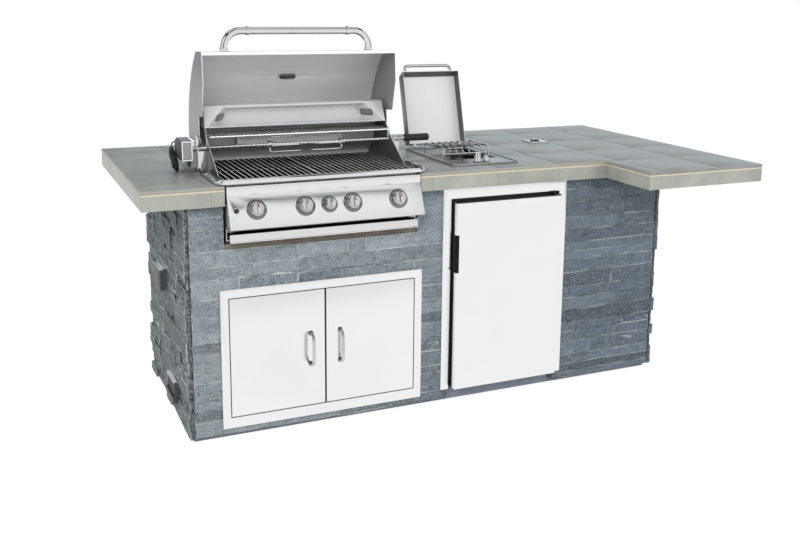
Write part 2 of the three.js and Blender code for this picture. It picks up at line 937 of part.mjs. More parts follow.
// The weatherproof outlet box on the left wall, with a cover hinged at its top edge.
function makeOutlet() {
  const width = outletWidth;
  const body = box(-outletDepth, stoneProud + boardThickness, 0, width, 0, outletHeight);
  const hinge = rodY(-outletDepth, 0, width, outletHeight, outletHingeRadius);
  const face = -outletDepth - seat;
  const cover = box(face - outletCoverDepth, face, 0, width, 0, outletHeight - outletHingeRadius - seat);
  const x = baseLeft - stoneProud - seat;
  const wall = placed(x, baseFront + outletFromFront, outletBottom);
  wall.add(mesh("outlet_box", union(body, hinge), grayPlastic));
  wall.add(mesh("outlet_cover", cover, grayPlastic));
  return wall;
}

// The vent low on the left wall: a plate with slots over a sill.
function makeVent() {
  const plate = box(-ventDepth, stoneProud + boardThickness, 0, ventWidth, 0, ventHeight);
  const half = ventSillHeight / 2;
  const sill = box(-ventSillProud, 0, -half, ventWidth + half, -ventSillHeight, half);
  const pitch = ventHeight / (ventSlots + 1);
  const slots = [];
  for (let i = 1; i <= ventSlots; i++) {
    const z = pitch * i;
    const [z0, z1] = [z - pitch / 4, z + pitch / 4];
    slots.push(box(-ventDepth - overrun, -ventDepth / 2, pitch / 2, ventWidth - pitch / 2, z0, z1));
  }
  const vent = mesh("side_vent", union(plate, sill).subtract(union(slots)), grayPlastic);
  return placed(baseLeft - stoneProud - seat, baseFront + ventFromFront, ventBottom, vent);
}

// The counter's outline seen from above, moved in by a distance.
function counterOutline(inset) {
  return [
    [left + inset, mainFront + inset],
    [barLeft + inset, mainFront + inset],
    [barLeft + inset, barFront + inset],
    [right - inset, barFront + inset],
    [right - inset, back - inset],
    [left + inset, back - inset],
  ];
}

// Cut-outs through the counter for the grill, the side burner and the umbrella sleeve.
function counterCuts() {
  const z0 = wallTop - overrun;
  const z1 = counterHeight + overrun;
  const grillCut = box(
    grillAcross - grillCutHalf,
    grillAcross + grillCutHalf,
    mainFront - overrun,
    baseFront + grillCutBack,
    z0,
    z1,
  );
  const panHalf = burnerPanHalf + burnerCutClear;
  const panCut = box(
    sideBurnerAcross - panHalf,
    sideBurnerAcross + panHalf,
    baseFront + burnerPanFront - burnerCutClear,
    baseFront + burnerPanBack + burnerCutClear,
    z0,
    z1,
  );
  const sleeveRadius = umbrellaBore / 2 + umbrellaSleeveWall + seat;
  const x = left + umbrellaFromLeft;
  const y = mainFront + umbrellaFromMainFront;
  return union(grillCut, panCut, rodZ(x, y, z0, z1, sleeveRadius, roundSides));
}

// Grout lines cut in the top tiles.
function groutLines() {
  const z0 = counterHeight - groutDepth;
  const z1 = counterHeight + overrun;
  const lines = [];
  for (let x = left + firstJoint; x < right; x += tilePitch) {
    lines.push(box(x - groutWidth / 2, x + groutWidth / 2, barFront - overrun, back + overrun, z0, z1));
  }
  for (let y = mainFront; y < back; y += tilePitch) {
    const from = y > mainFront ? left - overrun : barLeft + groutWidth;
    lines.push(box(from, right + overrun, y - groutWidth / 2, y + groutWidth / 2, z0, z1));
  }
  return union(lines);
}

// The deck board with the tiles bonded on it, and the skirt that hides the deck's edge.
function makeCounter() {
  const cuts = counterCuts();
  const tileBottom = counterHeight - tileThickness;
  const deck = prismZ(counterOutline(skirtThickness + seat), wallTop + seat, tileBottom);
  const tiles = prismZ(counterOutline(0), tileBottom, counterHeight);
  const ringTop = tileBottom - seat;
  const ring = prismZ(counterOutline(0), wallTop, ringTop).subtract(
    prismZ(counterOutline(skirtThickness), wallTop - overrun, ringTop + overrun),
  );
  const groove = prismZ(counterOutline(-overrun), ringTop - trimHeight, ringTop + overrun).subtract(
    prismZ(counterOutline(trimDepth), ringTop - trimHeight, ringTop + overrun),
  );
  return [
    mesh("counter_top", union(tiles, deck).subtract(cuts).subtract(groutLines()), tile),
    mesh("counter_skirt", ring.subtract(groove).subtract(cuts), tile),
  ];
}

// The square umbrella plate with its collar and the sleeve below.
function makeUmbrellaPlate() {
  const bore = umbrellaBore / 2;
  const half = umbrellaPlate / 2;
  const plate = box(-half, half, -half, half, seat, seat + umbrellaPlateThickness);
  const top = seat + umbrellaPlateThickness + umbrellaCollarHeight;
  const outer = bore + umbrellaSleeveWall;
  const collar = rodZ(0, 0, seat, top, bore + umbrellaCollarWall, roundSides, outer);
  const sleeve = rodZ(0, 0, -umbrellaSleeveLength, seat + umbrellaPlateThickness, outer, roundSides);
  const hole = rodZ(0, 0, -umbrellaSleeveLength - overrun, top + overrun, bore, roundSides);
  const body = union(plate, collar, sleeve).subtract(hole);
  const x = left + umbrellaFromLeft;
  return placed(x, mainFront + umbrellaFromMainFront, counterHeight, mesh("umbrella_plate", body, chrome));
}

// The firebox: two shaped sides, a stepped back, a front with burner holes, inner ledges and lips.
function makeFirebox() {
  const sides = [
    [fireboxFront, fireboxFloor],
    [fireboxFront, sideFrontTop],
    [sideSlopeStart, sideFrontTop],
    [sideKneeDepth, sideKneeTop],
    [sideShoulder, fireboxTop],
    [fireboxBackTop, fireboxTop],
    [shoulderDepth, shoulderHeight],
    [fireboxBack, backLedgeHeight],
    [fireboxBack, fireboxFloor],
  ];
  const side = prismX(sides, innerHalf, fireboxHalf);
  const backSheet = band(
    [
      [fireboxBack, fireboxFloor],
      [fireboxBack, backLedgeHeight],
      [shoulderDepth, shoulderHeight],
      [fireboxBackTop, fireboxTop],
    ],
    fireboxSheet,
  );
  const half = innerHalf + seat;
  const frontInner = fireboxFront + fireboxSheet;
  const backInner = fireboxBack - fireboxSheet;
  const front = centredBox(half, fireboxFront, frontInner, -lipDrop, fireboxFrontTop);
  const top = -seat;
  const frontEnd = frontInner + grateLedgeWidth;
  const frontLedge = centredBox(half, fireboxFront, frontEnd, top - fireboxSheet, top);
  const backEnd = backInner - grateLedgeWidth;
  const backLedge = centredBox(half, backEnd, fireboxBack, top - fireboxSheet, top);
  const sideLedge = (width, z0, z1) => box(innerHalf - width, fireboxHalf, fireboxFront, fireboxBack, z0, z1);
  const tamerTop = -tamerLedgeDrop - seat;
  const tamerLedge = sideLedge(grateLedgeWidth, tamerTop - fireboxSheet, tamerTop);
  const runner = sideLedge(runnerWidth, fireboxFloor, fireboxFloor + runnerThickness);
  const lip = prismY(
    [
      [fireboxHalf, -lipDrop],
      [fireboxHalf, -lipDrop + fireboxSheet],
      [innerHalf - lipWidth, -lipDrop + fireboxSheet - lipFall],
      [innerHalf - lipWidth, -lipDrop - lipFall],
    ],
    fireboxFront,
    fireboxBack,
  );
  const pinAxis = rackHeight - rackFrameRadius - rackPinRadius - seat;
  const pinEnd = innerHalf - rackPinLength;
  const rackPins = [rackPinFront, rackPinBack].map((y) => rodX(pinEnd, fireboxHalf, y, pinAxis, rackPinRadius));
  const slotRadius = spitRadius + spitSlotClear;
  const slotIn = innerHalf - overrun;
  const slotOut = fireboxHalf + overrun;
  const slotFloor = rodX(slotIn, slotOut, spitDepth, spitHeight, slotRadius);
  const slotWay = box(slotIn, slotOut, spitDepth - slotRadius, spitDepth + slotRadius, spitHeight, fireboxTop);
  const holeRadius = burnerRadius + stemClear;
  const burnerHoles = burnerOffsets().map((x) =>
    rodY(x, fireboxFront - overrun, frontInner + overrun, -burnerDrop, holeRadius, rodSides),
  );
  const bodyInset = backBurnerBodyInset - seat;
  const backBurnerHole = centredBox(
    backBurnerHalf - bodyInset,
    backBurnerFace + overrun,
    backBurnerBack,
    backBurnerBottom + bodyInset,
    backBurnerTop - bodyInset,
  );
  const sideParts = pair(union(side, tamerLedge, runner, lip, rackPins));
  const backPart = prismX(backSheet, -fireboxHalf, fireboxHalf);
  const walls = union(sideParts, backPart, front, frontLedge, backLedge);
  const body = walls.subtract(pair(union(slotFloor, slotWay)));
  return mesh("firebox", body.subtract(union(burnerHoles)).subtract(backBurnerHole), steel);
}

// Where the four main burners stand, under their knobs.
function burnerOffsets() {
  return [knobOffset1, knobOffset2, knobOffset4, knobOffset5];
}

// Front and side rails, rim plates, and side housings with pivot brackets and rubber stops.
function makeHeadRim() {
  const railAxis = seat + railRadius;
  const corners = [
    [0, railDepth, railAxis],
    [sideRailOut, railDepth, railAxis],
    [sideRailOut, housingFront + overrun, railAxis],
  ];
  const rail = routed(rounded(corners, railBend), railRadius, pipeSides);
  const plateTop = railAxis - rimPlateDrop;
  const plateBottom = plateTop - rimPlate;
  const frontPlate = box(0, sideRailOut - railBend, railDepth, fireboxFront - seat, plateBottom, plateTop);
  const sideIn = fireboxHalf + seat;
  const sidePlate = box(sideIn, sideRailOut, railDepth + railBend, housingFront + overrun, plateBottom, plateTop);
  const housing = box(fireboxHalf + seat, housingOut, housingFront, housingBack, seat, housingHeight);
  const bracketIn = hoodHalf + pivotBracketGap;
  const bracketOut = bracketIn + pivotBracketThickness;
  const bracketShape = [
    [pivotDepth - pivotBracketHalf, housingHeight - overrun],
    ...arc(pivotDepth, pivotHeight, pivotBracketHalf, Math.PI, 0, hoodLobeSteps),
    [pivotDepth + pivotBracketHalf, housingHeight - overrun],
  ];
  const holeRadius = pivotPinRadius + seat;
  const [holeIn, holeOut] = [bracketIn - overrun, bracketOut + overrun];
  const pinHole = rodX(holeIn, holeOut, pivotDepth, pivotHeight, holeRadius, roundSides);
  const bracket = prismX(bracketShape, bracketIn, bracketOut).subtract(pinHole);
  const stopTop = pivotHeight - hoodBackEdge - seat;
  const stopIn = hoodHalf - stopWidth / 2;
  const stopEnd = stopDepth + stopLength;
  const rubberStop = box(stopIn, stopIn + stopWidth, stopDepth, stopEnd, housingHeight - overrun, stopTop);
  const half = union(rail, frontPlate, sidePlate, housing, bracket, rubberStop);
  return mesh("head_rim", pair(half), chrome);
}

// Corners of a slanted cheek of the lamp box's pocket, which grows by a sheet: at the front bottom,
// front top, back bottom and back top, all in one plane.
function cheekCorners(grow) {
  const slope = (baffleFrontDepth - sideShoulder) / (baffleTop - fireboxTop);
  const bottom = fireboxTop + bafflePocketRise - grow;
  const top = baffleTop - bafflePocketTopDrop + grow;
  const frontAt = (z) => sideShoulder + slope * (z - fireboxTop) - overrun;
  const frontBottom = new THREE.Vector3(baffleHalf - bafflePocketSide + grow, frontAt(bottom), bottom);
  const frontTop = new THREE.Vector3(baffleHalf - bafflePocketInset + grow, frontAt(top), top);
  const backBottom = new THREE.Vector3(bafflePanelBottomHalf + grow, bafflePanelDepth + grow, bottom);
  const square = frontTop.clone().sub(frontBottom).cross(backBottom.clone().sub(frontBottom));
  const backTop = new THREE.Vector3(frontBottom.x, bafflePanelDepth + grow, top - bafflePanelTopDrop);
  backTop.x -= backTop.clone().sub(frontBottom).dot(square) / square.x;
  return { corners: [frontBottom, frontTop, backBottom, backTop], square: square.normalize() };
}

// The pocket: wide at the front, narrower at its back panel.
function bafflePocket(grow) {
  const { corners } = cheekCorners(grow);
  return hull(corners.flatMap(({ x, y, z }) => [
    [x, y, z],
    [-x, y, z],
  ]));
}

// The lamp box over the back of the firebox: a sheet shell, open below, with the pocket let in.
function makeBaffle() {
  const bottom = fireboxTop + seat;
  const outline = [
    [sideShoulder, bottom],
    [fireboxBackTop, bottom],
    [baffleBackTopDepth, baffleTop],
    [baffleFrontDepth, baffleTop],
  ];
  const inside = [
    [sideShoulder + baffleSheet, bottom - overrun],
    [fireboxBackTop - baffleSheet, bottom - overrun],
    [baffleBackTopDepth - baffleSheet, baffleTop - baffleSheet],
    [baffleFrontDepth + baffleSheet, baffleTop - baffleSheet],
  ];
  const shell = prismX(outline, -baffleHalf, baffleHalf);
  const cavity = prismX(inside, -baffleHalf + baffleSheet, baffleHalf - baffleSheet);
  const hollow = cavity.subtract(bafflePocket(baffleSheet));
  return mesh("rear_baffle", shell.subtract(hollow).subtract(bafflePocket(0)), steel);
}

// A lamp lens on each slanted cheek of the pocket.
function makeLamps() {
  const { corners, square } = cheekCorners(0);
  const middle = corners.reduce((sum, corner) => sum.add(corner), new THREE.Vector3());
  middle.divideScalar(corners.length).addScaledVector(square, seat);
  return ["lamp_left", "lamp_right"].map((name, i) => {
    const side = i ? 1 : -1;
    const foot = prismZ(clipped(lampWidth, lampHeight, lampBezel), 0, lampThickness / 2);
    const inner = clipped(lampWidth - 2 * lampBezel, lampHeight - 2 * lampBezel, lampBezel);
    const lens = union(foot, prismZ(inner, 0, lampThickness));
    const facing = new THREE.Vector3(side * square.x, square.y, square.z);
    const level = new THREE.Vector3().crossVectors(unitZ, facing).normalize();
    const upward = new THREE.Vector3().crossVectors(facing, level);
    const holder = placed(side * middle.x, middle.y, middle.z, mesh(name, lens, glass));
    holder.quaternion.setFromRotationMatrix(new THREE.Matrix4().makeBasis(level, upward, facing));
    return holder;
  });
}

// The line down the front of the control panel, and the frame that its knobs stand in.
const panelRun = panelLipDepth + panelStep - panelFootDepth;
const panelFall = panelFootDrop + panelLipBottom;
const panelTilt = Math.atan2(panelFall, panelRun);

function onPanel(x, down, ...children) {
  const y = panelLipDepth + panelStep - down * Math.cos(panelTilt);
  const z = panelLipBottom - down * Math.sin(panelTilt);
  const group = placed(x, y, z, ...children);
  group.rotation.x = panelTilt;
  return group;
}

// A round bar square to the panel at a place on it.
function panelRod(x, down, from, to, radius, sides, endRadius) {
  const y = panelLipDepth + panelStep - down * Math.cos(panelTilt);
  const z = panelLipBottom - down * Math.sin(panelTilt);
  return leant(rodZ(0, 0, from, to, radius, sides, endRadius), panelTilt, x, y, z);
}

// The control panel: a lip, a slanted face with bored knob bezels, a foot return, closed ends.
function makePanel() {
  const line = [
    [fireboxFront - seat, panelLipTop],
    [panelLipDepth, panelLipTop],
    [panelLipDepth, panelLipBottom],
    [panelLipDepth + panelStep, panelLipBottom],
    [panelFootDepth, -panelFootDrop],
    [panelReturnDepth, -panelReturnDrop],
  ];
  const sheet = prismX(band(line, panelSheet), -panelHalf, panelHalf);
  const backEdge = stoneFace - seat;
  const endShape = [[backEdge, panelLipTop], ...line.slice(1), [backEdge, -panelReturnDrop]];
  const end = prismX(endShape, panelHalf - panelSheet, panelHalf);
  const wallSide = box(fireboxHalf, panelHalf + overrun, backEdge, 0, -panelReturnDrop - overrun, 0);
  const sunk = -panelSheet / 2;
  const bezels = knobOffsets().map(([x, share]) => {
    const radius = bezelRadius * share;
    return panelRod(x, knobDown, sunk, bezelHeight, radius, pipeSides, radius * smallKnobShare);
  });
  const holes = knobOffsets().map(([x]) =>
    panelRod(x, knobDown, -overrun, bezelHeight + overrun, stemRadius + stemClear, wireSides),
  );
  const igniterRod = (from, to, radius) => panelRod(igniterOffset, igniterDown, from, to, radius, roundSides);
  const igniterHole = igniterRod(-overrun, igniterCollarHeight + overrun, igniterRadius + seat);
  const collar = igniterRod(sunk, igniterCollarHeight, igniterRadius + igniterCollar);
  const body = union(sheet, pair(end), bezels, collar).subtract(pair(wallSide));
  return mesh("control_panel", body.subtract(union(holes, igniterHole)), steel);
}

// Knob places along the panel, each with its share of the full size.
function knobOffsets() {
  return [
    [knobOffset1, 1],
    [knobOffset2, 1],
    [knobOffset3, smallKnobShare],
    [knobOffset4, 1],
    [knobOffset5, 1],
  ];
}

// A knob with a skirt, a tapered body and a raised blade, bored to take its stem.
function knobSolid(share) {
  const radius = knobRadius * share;
  const foot = bezelHeight + knobLift;
  const body = turned([
    [0, foot + knobBoreDepth],
    [knobBore, foot + knobBoreDepth],
    [knobBore, foot],
    [radius, foot],
    [radius, foot + knobSkirtHeight],
    [radius * smallKnobShare, foot + knobHeight - knobBladeRise],
    [0, foot + knobHeight - knobBladeRise],
  ]);
  const reach = radius * smallKnobShare - stemClear;
  const bladeFoot = foot + knobBoreDepth + stemClear;
  return body.add(box(-knobBlade / 2, knobBlade / 2, -reach, reach, bladeFoot, foot + knobHeight));
}

function makeKnobs() {
  return knobOffsets().map(([x, share], i) => {
    const knob = mesh("knob_" + (i + 1), knobSolid(share), chrome);
    return onPanel(x, knobDown, knob);
  });
}

function makeIgniter() {
  const button = turned([
    [0, -igniterHeight],
    [igniterRadius, -igniterHeight],
    [igniterRadius, igniterHeight - igniterRound],
    [igniterRadius - igniterRound, igniterHeight],
    [0, igniterHeight],
  ]);
  return onPanel(igniterOffset, igniterDown, mesh("igniter_button", button, blackPlastic));
}

// The gas train: a manifold pipe, four burner tubes, and a valve with a stem behind each knob.
function makeBurners() {
  const pipe = rodX(-manifoldReach, manifoldReach, manifoldDepth, -manifoldDrop, manifoldRadius, pipeSides);
  const tubes = burnerOffsets().map((x) =>
    rodY(x, manifoldDepth, burnerEnd, -burnerDrop, burnerRadius, rodSides),
  );
  const stemTop = bezelHeight + knobLift + knobBoreDepth - seat;
  const valves = knobOffsets().map(([x]) => {
    const stem = panelRod(x, knobDown, -panelSheet - overrun, stemTop, stemRadius, wireSides);
    const y = panelLipDepth + panelStep - knobDown * Math.cos(panelTilt);
    const z = panelLipBottom - knobDown * Math.sin(panelTilt);
    const inset = panelSheet + stemClear;
    const start = [x, y + inset * Math.sin(panelTilt), z - inset * Math.cos(panelTilt)];
    return union(stem, rod(start, [x, manifoldDepth, -manifoldDrop], valveRadius));
  });
  return mesh("burner_assembly", union(pipe, tubes, valves), darkSteel);
}

// A corrugated sheet over the burners.
function makeTamer() {
  const half = innerHalf - seat - tamerSheet;
  const low = -tamerLedgeDrop;
  const line = [];
  for (let i = 0; i <= 2 * tamerRidges; i++) {
    line.push([-half + (2 * half * i) / (2 * tamerRidges), i % 2 ? low + tamerHeight : low]);
  }
  const y0 = fireboxFront + fireboxSheet + tamerFrontGap;
  const y1 = fireboxBack - fireboxSheet - tamerFrontGap;
  return mesh("flame_tamer", prismY(band(line, tamerSheet), y0, y1), darkSteel);
}

// The two halves of the cooking grate: parallel bars between end rails, with a rib below.
function makeGrates() {
  const y0 = fireboxFront + fireboxSheet + seat;
  const y1 = fireboxBack - fireboxSheet - seat;
  const half = innerHalf - seat;
  const width = half - grateSplit / 2;
  const pitch = (width - grateBarWidth) / (grateBars - 1);
  return ["grate_left", "grate_right"].map((name, i) => {
    const x0 = i ? grateSplit / 2 : -half;
    const plate = box(x0, x0 + width, y0, y1, 0, grateHeight);
    const slots = [];
    for (let k = 0; k < grateBars - 1; k++) {
      const from = x0 + grateBarWidth + k * pitch;
      const to = from + pitch - grateBarWidth;
      slots.push(box(from, to, y0 + grateRail, y1 - grateRail, -overrun, grateHeight + overrun));
    }
    const ribFront = (y0 + y1 - grateRibWidth) / 2;
    const rib = box(x0, x0 + width, ribFront, ribFront + grateRibWidth, -grateRibDepth, grateRibDepth);
    return mesh(name, plate.subtract(union(slots)).add(rib), castIron);
  });
}

// The drip tray: an open pan on the runners with a front strip, drawn out to the front.
function makeDripTray() {
  const bottom = fireboxFloor + runnerThickness + seat;
  const top = bottom + trayDepth;
  const pan = centredBox(trayHalf, trayFront, trayBack, bottom, top);
  const inside = centredBox(
    trayHalf - traySheet,
    trayFront + traySheet,
    trayBack - traySheet,
    bottom + traySheet,
    top + overrun,
  );
  const stripBack = trayStripDepth + trayStripThickness;
  const strip = centredBox(trayStripHalf, trayStripDepth, stripBack, fireboxFloor, trayStripTop);
  const neck = centredBox(trayHalf, trayStripDepth, trayFront + traySheet, bottom, top);
  const lipTop = fireboxFloor + trayStripThickness;
  const lip = centredBox(trayStripHalf, trayStripDepth - trayLip, stripBack, fireboxFloor, lipTop);
  return mesh("drip_tray", union(pan.subtract(inside), strip, neck, lip), steel);
}

// The sill at the foot of the grill's opening in the wall.
function makeSill() {
  const bottom = -grillOpeningDrop + seat;
  const sill = centredBox(grillCutHalf - seat, sillFront, sillBack, bottom, bottom + sillHeight);
  return mesh("opening_sill", sill, cement);
}

// The infrared back burner for the spit.
function makeBackBurner() {
  const slab = (inset, y0, y1) =>
    centredBox(backBurnerHalf - inset, y0, y1, backBurnerBottom + inset, backBurnerTop - inset);
  const flange = slab(0, backBurnerFace, backBurnerFace + backBurnerFlange);
  const body = slab(backBurnerBodyInset, backBurnerFace, backBurnerBack);
  const recess = slab(backBurnerTileInset, backBurnerFace - overrun, backBurnerFace + backBurnerTileDepth);
  return mesh("back_burner", union(flange, body).subtract(recess), steel);
}

// The warming rack: thin bars over a frame of heavier wire, lying on pins in the side walls.
function makeRack() {
  const outer = rackHalf - rackFrameRadius;
  const y0 = rackFront + rackFrameRadius;
  const y1 = rackBack - rackFrameRadius;
  const frame = [
    ...[y0, y1].map((y) => rodX(-outer, outer, y, rackHeight, rackFrameRadius, wireSides)),
    ...[-outer, outer].map((x) => rodY(x, y0, y1, rackHeight, rackFrameRadius, wireSides)),
  ];
  const rods = [];
  for (let i = 1; i < rackRods; i++) {
    const x = -outer + (2 * outer * i) / rackRods;
    rods.push(rodY(x, y0, y1, rackHeight, rackRodRadius, barSides));
  }
  return mesh("warming_rack", union(frame, rods), chrome);
}

// Points of the closed hood, from the lip up the face and over the arc to the top back edge.
function hoodLine() {
  const faceTop = [hoodLipDepth + hoodFaceLean, hoodLipHeight + hoodFaceHeight];
  const drop = Math.sqrt(hoodArcRadius ** 2 - (pivotDepth - faceTop[0]) ** 2);
  const centre = faceTop[1] - drop;
  const start = Math.atan2(drop, faceTop[0] - pivotDepth);
  const turnTop = Math.PI / 2;
  return [
    [hoodLipDepth, hoodLipHeight],
    ...arc(pivotDepth, centre, hoodArcRadius, start, turnTop, hoodArcSteps),
    [pivotDepth + hoodBackEdge, centre + hoodArcRadius],
  ];
}

// Shape of an end cap: the hood's line, then a lobe round the pivot and the notch for the spit.
function hoodCapShape() {
  return [
    ...hoodLine(),
    ...arc(pivotDepth, pivotHeight, hoodLobeRadius, 0, -hoodLobeTurn, hoodLobeSteps),
    [hoodNotchDepth + hoodNotchSlant, hoodNotchTop],
    [hoodNotchDepth, hoodNotchBottom],
    [hoodCapMiddle, hoodCapMiddleHeight],
  ];
}

// The gauge's place on the arc, and the lean of the sheet there.
function gaugePlace() {
  const line = hoodLine();
  const top = line[line.length - 1][1];
  const centre = top - hoodArcRadius;
  const across = gaugeAlong - pivotDepth;
  const up = Math.sqrt(hoodArcRadius ** 2 - across ** 2);
  return { y: gaugeAlong, z: centre + up, lean: Math.atan2(-across, up) };
}

// The hood: a curved sheet between two shaped end caps, with rolled inner flanges and pivot pins.
function makeHoodShell() {
  const line = hoodLine();
  const sheet = prismX(band(line, -hoodSheet), -hoodHalf, hoodHalf);
  const cap = prismX(hoodCapShape(), hoodHalf - hoodSheet, hoodHalf);
  const lipBack = hoodLipDepth + hoodFlange;
  const lip = centredBox(hoodHalf, hoodLipDepth, lipBack, hoodLipHeight, hoodLipHeight + hoodSheet);
  const backY = pivotDepth + hoodBackEdge;
  const top = line[line.length - 1][1];
  const backFlange = centredBox(hoodHalf, backY - hoodSheet, backY, top - hoodFlange, top);
  const pinEnd = hoodHalf + pivotBracketGap + pivotBracketThickness;
  const pin = rodX(hoodHalf - hoodSheet, pinEnd, pivotDepth, pivotHeight, pivotPinRadius, roundSides);
  const place = gaugePlace();
  const slotShape = oblong(gaugeNeckWidth + 2 * seat, gaugeNeckHeight + 2 * seat);
  const slot = leant(prismZ(slotShape, -gaugeInner, gaugeInner), place.lean, 0, place.y, place.z);
  return union(sheet, pair(union(cap, pin)), lip, backFlange).subtract(slot);
}

// The hood's bow handle, with rings where it bends and where it meets the face.
function makeHoodHandle() {
  const leanThere = (hoodFaceLean * (hoodHandleHeight - hoodLipHeight)) / hoodFaceHeight;
  const face = hoodLipDepth + leanThere - 2 * seat;
  const out = face - hoodHandleStandoff;
  const z = hoodHandleHeight;
  const corners = [
    [-hoodHandleReach, face, z],
    [-hoodHandleReach, out, z],
    [hoodHandleReach, out, z],
    [hoodHandleReach, face, z],
  ];
  const tube = routed(rounded(corners, hoodHandleBend), hoodHandleRadius, pipeSides);
  const reach = hoodHandleRingLength / 2;
  const rings = [hoodHandleRingAt, -hoodHandleRingAt].map((x) =>
    rodX(x - reach, x + reach, out, z, hoodHandleRingRadius, pipeSides),
  );
  const feet = [hoodHandleReach, -hoodHandleReach].map((x) =>
    rodY(x, face, face - hoodHandleRingLength, z, hoodHandleRingRadius, pipeSides),
  );
  return union(tube, rings, feet);
}

// The gauge: an oblong dial plate outside, a neck through the sheet and a bezel inside.
function makeGauge() {
  const outer = prismZ(oblong(gaugeOuterWidth, gaugeOuterHeight), seat, seat + gaugeOuter);
  const neck = prismZ(oblong(gaugeNeckWidth, gaugeNeckHeight), -hoodSheet - overrun / 2, overrun / 2);
  const inner = prismZ(oblong(gaugeWidth, gaugeHeight), -hoodSheet - gaugeInner, -hoodSheet - 2 * seat);
  return union(outer, neck, inner);
}

function makeHood() {
  const place = gaugePlace();
  const gauge = placed(0, place.y, place.z, mesh("hood_gauge", makeGauge(), chrome));
  gauge.rotation.x = place.lean;
  const shell = mesh("hood_shell", makeHoodShell(), steel);
  const handle = mesh("hood_handle", makeHoodHandle(), chrome);
  const parts = placed(0, -pivotDepth, -pivotHeight, shell, handle, gauge);
  const hood = placed(0, pivotDepth, pivotHeight, parts);
  hood.rotation.x = -hoodOpenTurn;
  return hood;
}

// The spit rod with its collar, from the motor's boss to the handle.
function makeSpit() {
  const from = motorRight + motorBossLength + seat;
  const to = spitFerruleAt + spitFerruleLength;
  const bar = rodX(from, to, 0, 0, spitRadius, pipeSides);
  const collarAt = fireboxHalf + spitSlotClear;
  const collar = rodX(collarAt, collarAt + spitCollarLength, 0, 0, spitCollarRadius, pipeSides);
  const ferrule = rodX(spitFerruleAt, to, 0, 0, spitFerruleRadius, pipeSides);
  const forks = [
    mesh("spit_fork_left", shifted(forkSolid(), forkLeftAt), chrome),
    mesh("spit_fork_right", shifted(mirrored(forkSolid()), forkRightAt), chrome),
  ];
  const handle = placed(to + seat, 0, 0, mesh("spit_handle", spitHandleSolid(), blackPlastic));
  const rodMesh = mesh("spit_rod", union(bar, collar, ferrule), chrome);
  return placed(0, spitDepth, spitHeight, rodMesh, forks, handle);
}

// A fork: a bored hub with a thumb screw and four pointed tines bent towards +X.
function forkSolid() {
  const half = forkHubLength / 2;
  const hub = rodX(-half, half, 0, 0, forkHubRadius);
  const tines = Array.from({ length: forkTines }, (_, i) => {
    const corners = [
      [0, 0, spitRadius + forkWire],
      [0, 0, forkReach],
      [forkTine - forkTip, 0, forkReach],
    ];
    const wire = routed(rounded(corners, forkBend, forkBendSteps), forkWire, thinSides);
    const tipStart = [forkTine - forkTip - seat, 0, forkReach];
    const tip = rod(tipStart, [forkTine, 0, forkReach], forkWire, thinSides, forkPoint);
    return spun(union(wire, tip), unitX, (2 * Math.PI * i) / forkTines);
  });
  const screwFoot = spitRadius + forkWire;
  const upright = rodZ(-half / 2, 0, screwFoot, forkScrewLength, forkScrewRadius, wireSides);
  const screw = spun(upright, unitX, Math.PI / forkTines);
  const bore = rodX(-half - overrun, half + overrun, 0, 0, spitRadius + stemClear);
  return union(hub, tines, screw).subtract(bore);
}

// The spit's handle with lengthwise flutes and a rounded end.
function spitHandleSolid() {
  const profile = [
    [0, 0],
    [spitHandleRadius - spitHandleFlute / 2, 0],
    [spitHandleRadius, spitHandleFlute],
    [spitHandleRadius, spitHandleLength - spitHandleDome],
    [spitHandleRadius * Math.cos(Math.PI / 4), spitHandleLength - spitHandleTip],
    [0, spitHandleLength],
  ];
  const body = spun(turned(profile), unitY, Math.PI / 2);
  const flutes = [];
  for (let i = 0; i < spitHandleFlutes; i++) {
    const z = spitHandleRadius + spitHandleFluteLift;
    const end = spitHandleLength - 2 * spitHandleDome;
    const cut = rodX(spitHandleFluteStart, end, 0, z, spitHandleFlute, wireSides);
    flutes.push(spun(cut, unitX, (2 * Math.PI * i) / spitHandleFlutes));
  }
  return body.subtract(union(flutes));
}

// The motor's housing with its output boss and the bracket to the side housing.
function makeMotor() {
  const outline = [
    [motorFront, motorBottom],
    [motorBack, motorBottom],
    [motorBack, motorBackTop],
    [motorRidgeDepth, motorRidgeTop],
    [motorFront, motorFrontTop],
  ];
  const body = prismX(outline, motorLeft, motorRight);
  const inside = motorRight - overrun;
  const bossEnd = motorRight + motorBossLength;
  const boss = rodX(inside, bossEnd, spitDepth, spitHeight, motorBossRadius, roundSides);
  const bracket = box(inside, -housingOut - seat, bracketFront, bracketBack, bracketBottom, bracketTop);
  const foot = box(motorLeft, motorRight, bracketFront, bracketBack, bracketTop - bracketLip, bracketTop);
  return mesh("motor_housing", union(body, boss, bracket, foot), steel);
}

// The tapered relief where the cord leaves the motor.
function makeRelief() {
  const from = motorBack + seat;
  const relief = rodY(reliefAcross, from, from + reliefLength, reliefHeight, reliefBase, roundSides, reliefTip);
  return mesh("strain_relief", relief, rubber);
}

// Directions of the hank: along its runs, and square to them.
const hankAlong = [Math.cos(hankLean), Math.sin(hankLean)];
const hankSquare = [-Math.sin(hankLean), Math.cos(hankLean)];

// A point of the hank from its place along, across and its layer.
function hankPoint(along, across, layerX) {
  const y = hankFoldDepth + along * hankAlong[0] + across * hankSquare[0];
  const z = hankFoldHeight + along * hankAlong[1] + across * hankSquare[1];
  return [layerX, y, z];
}

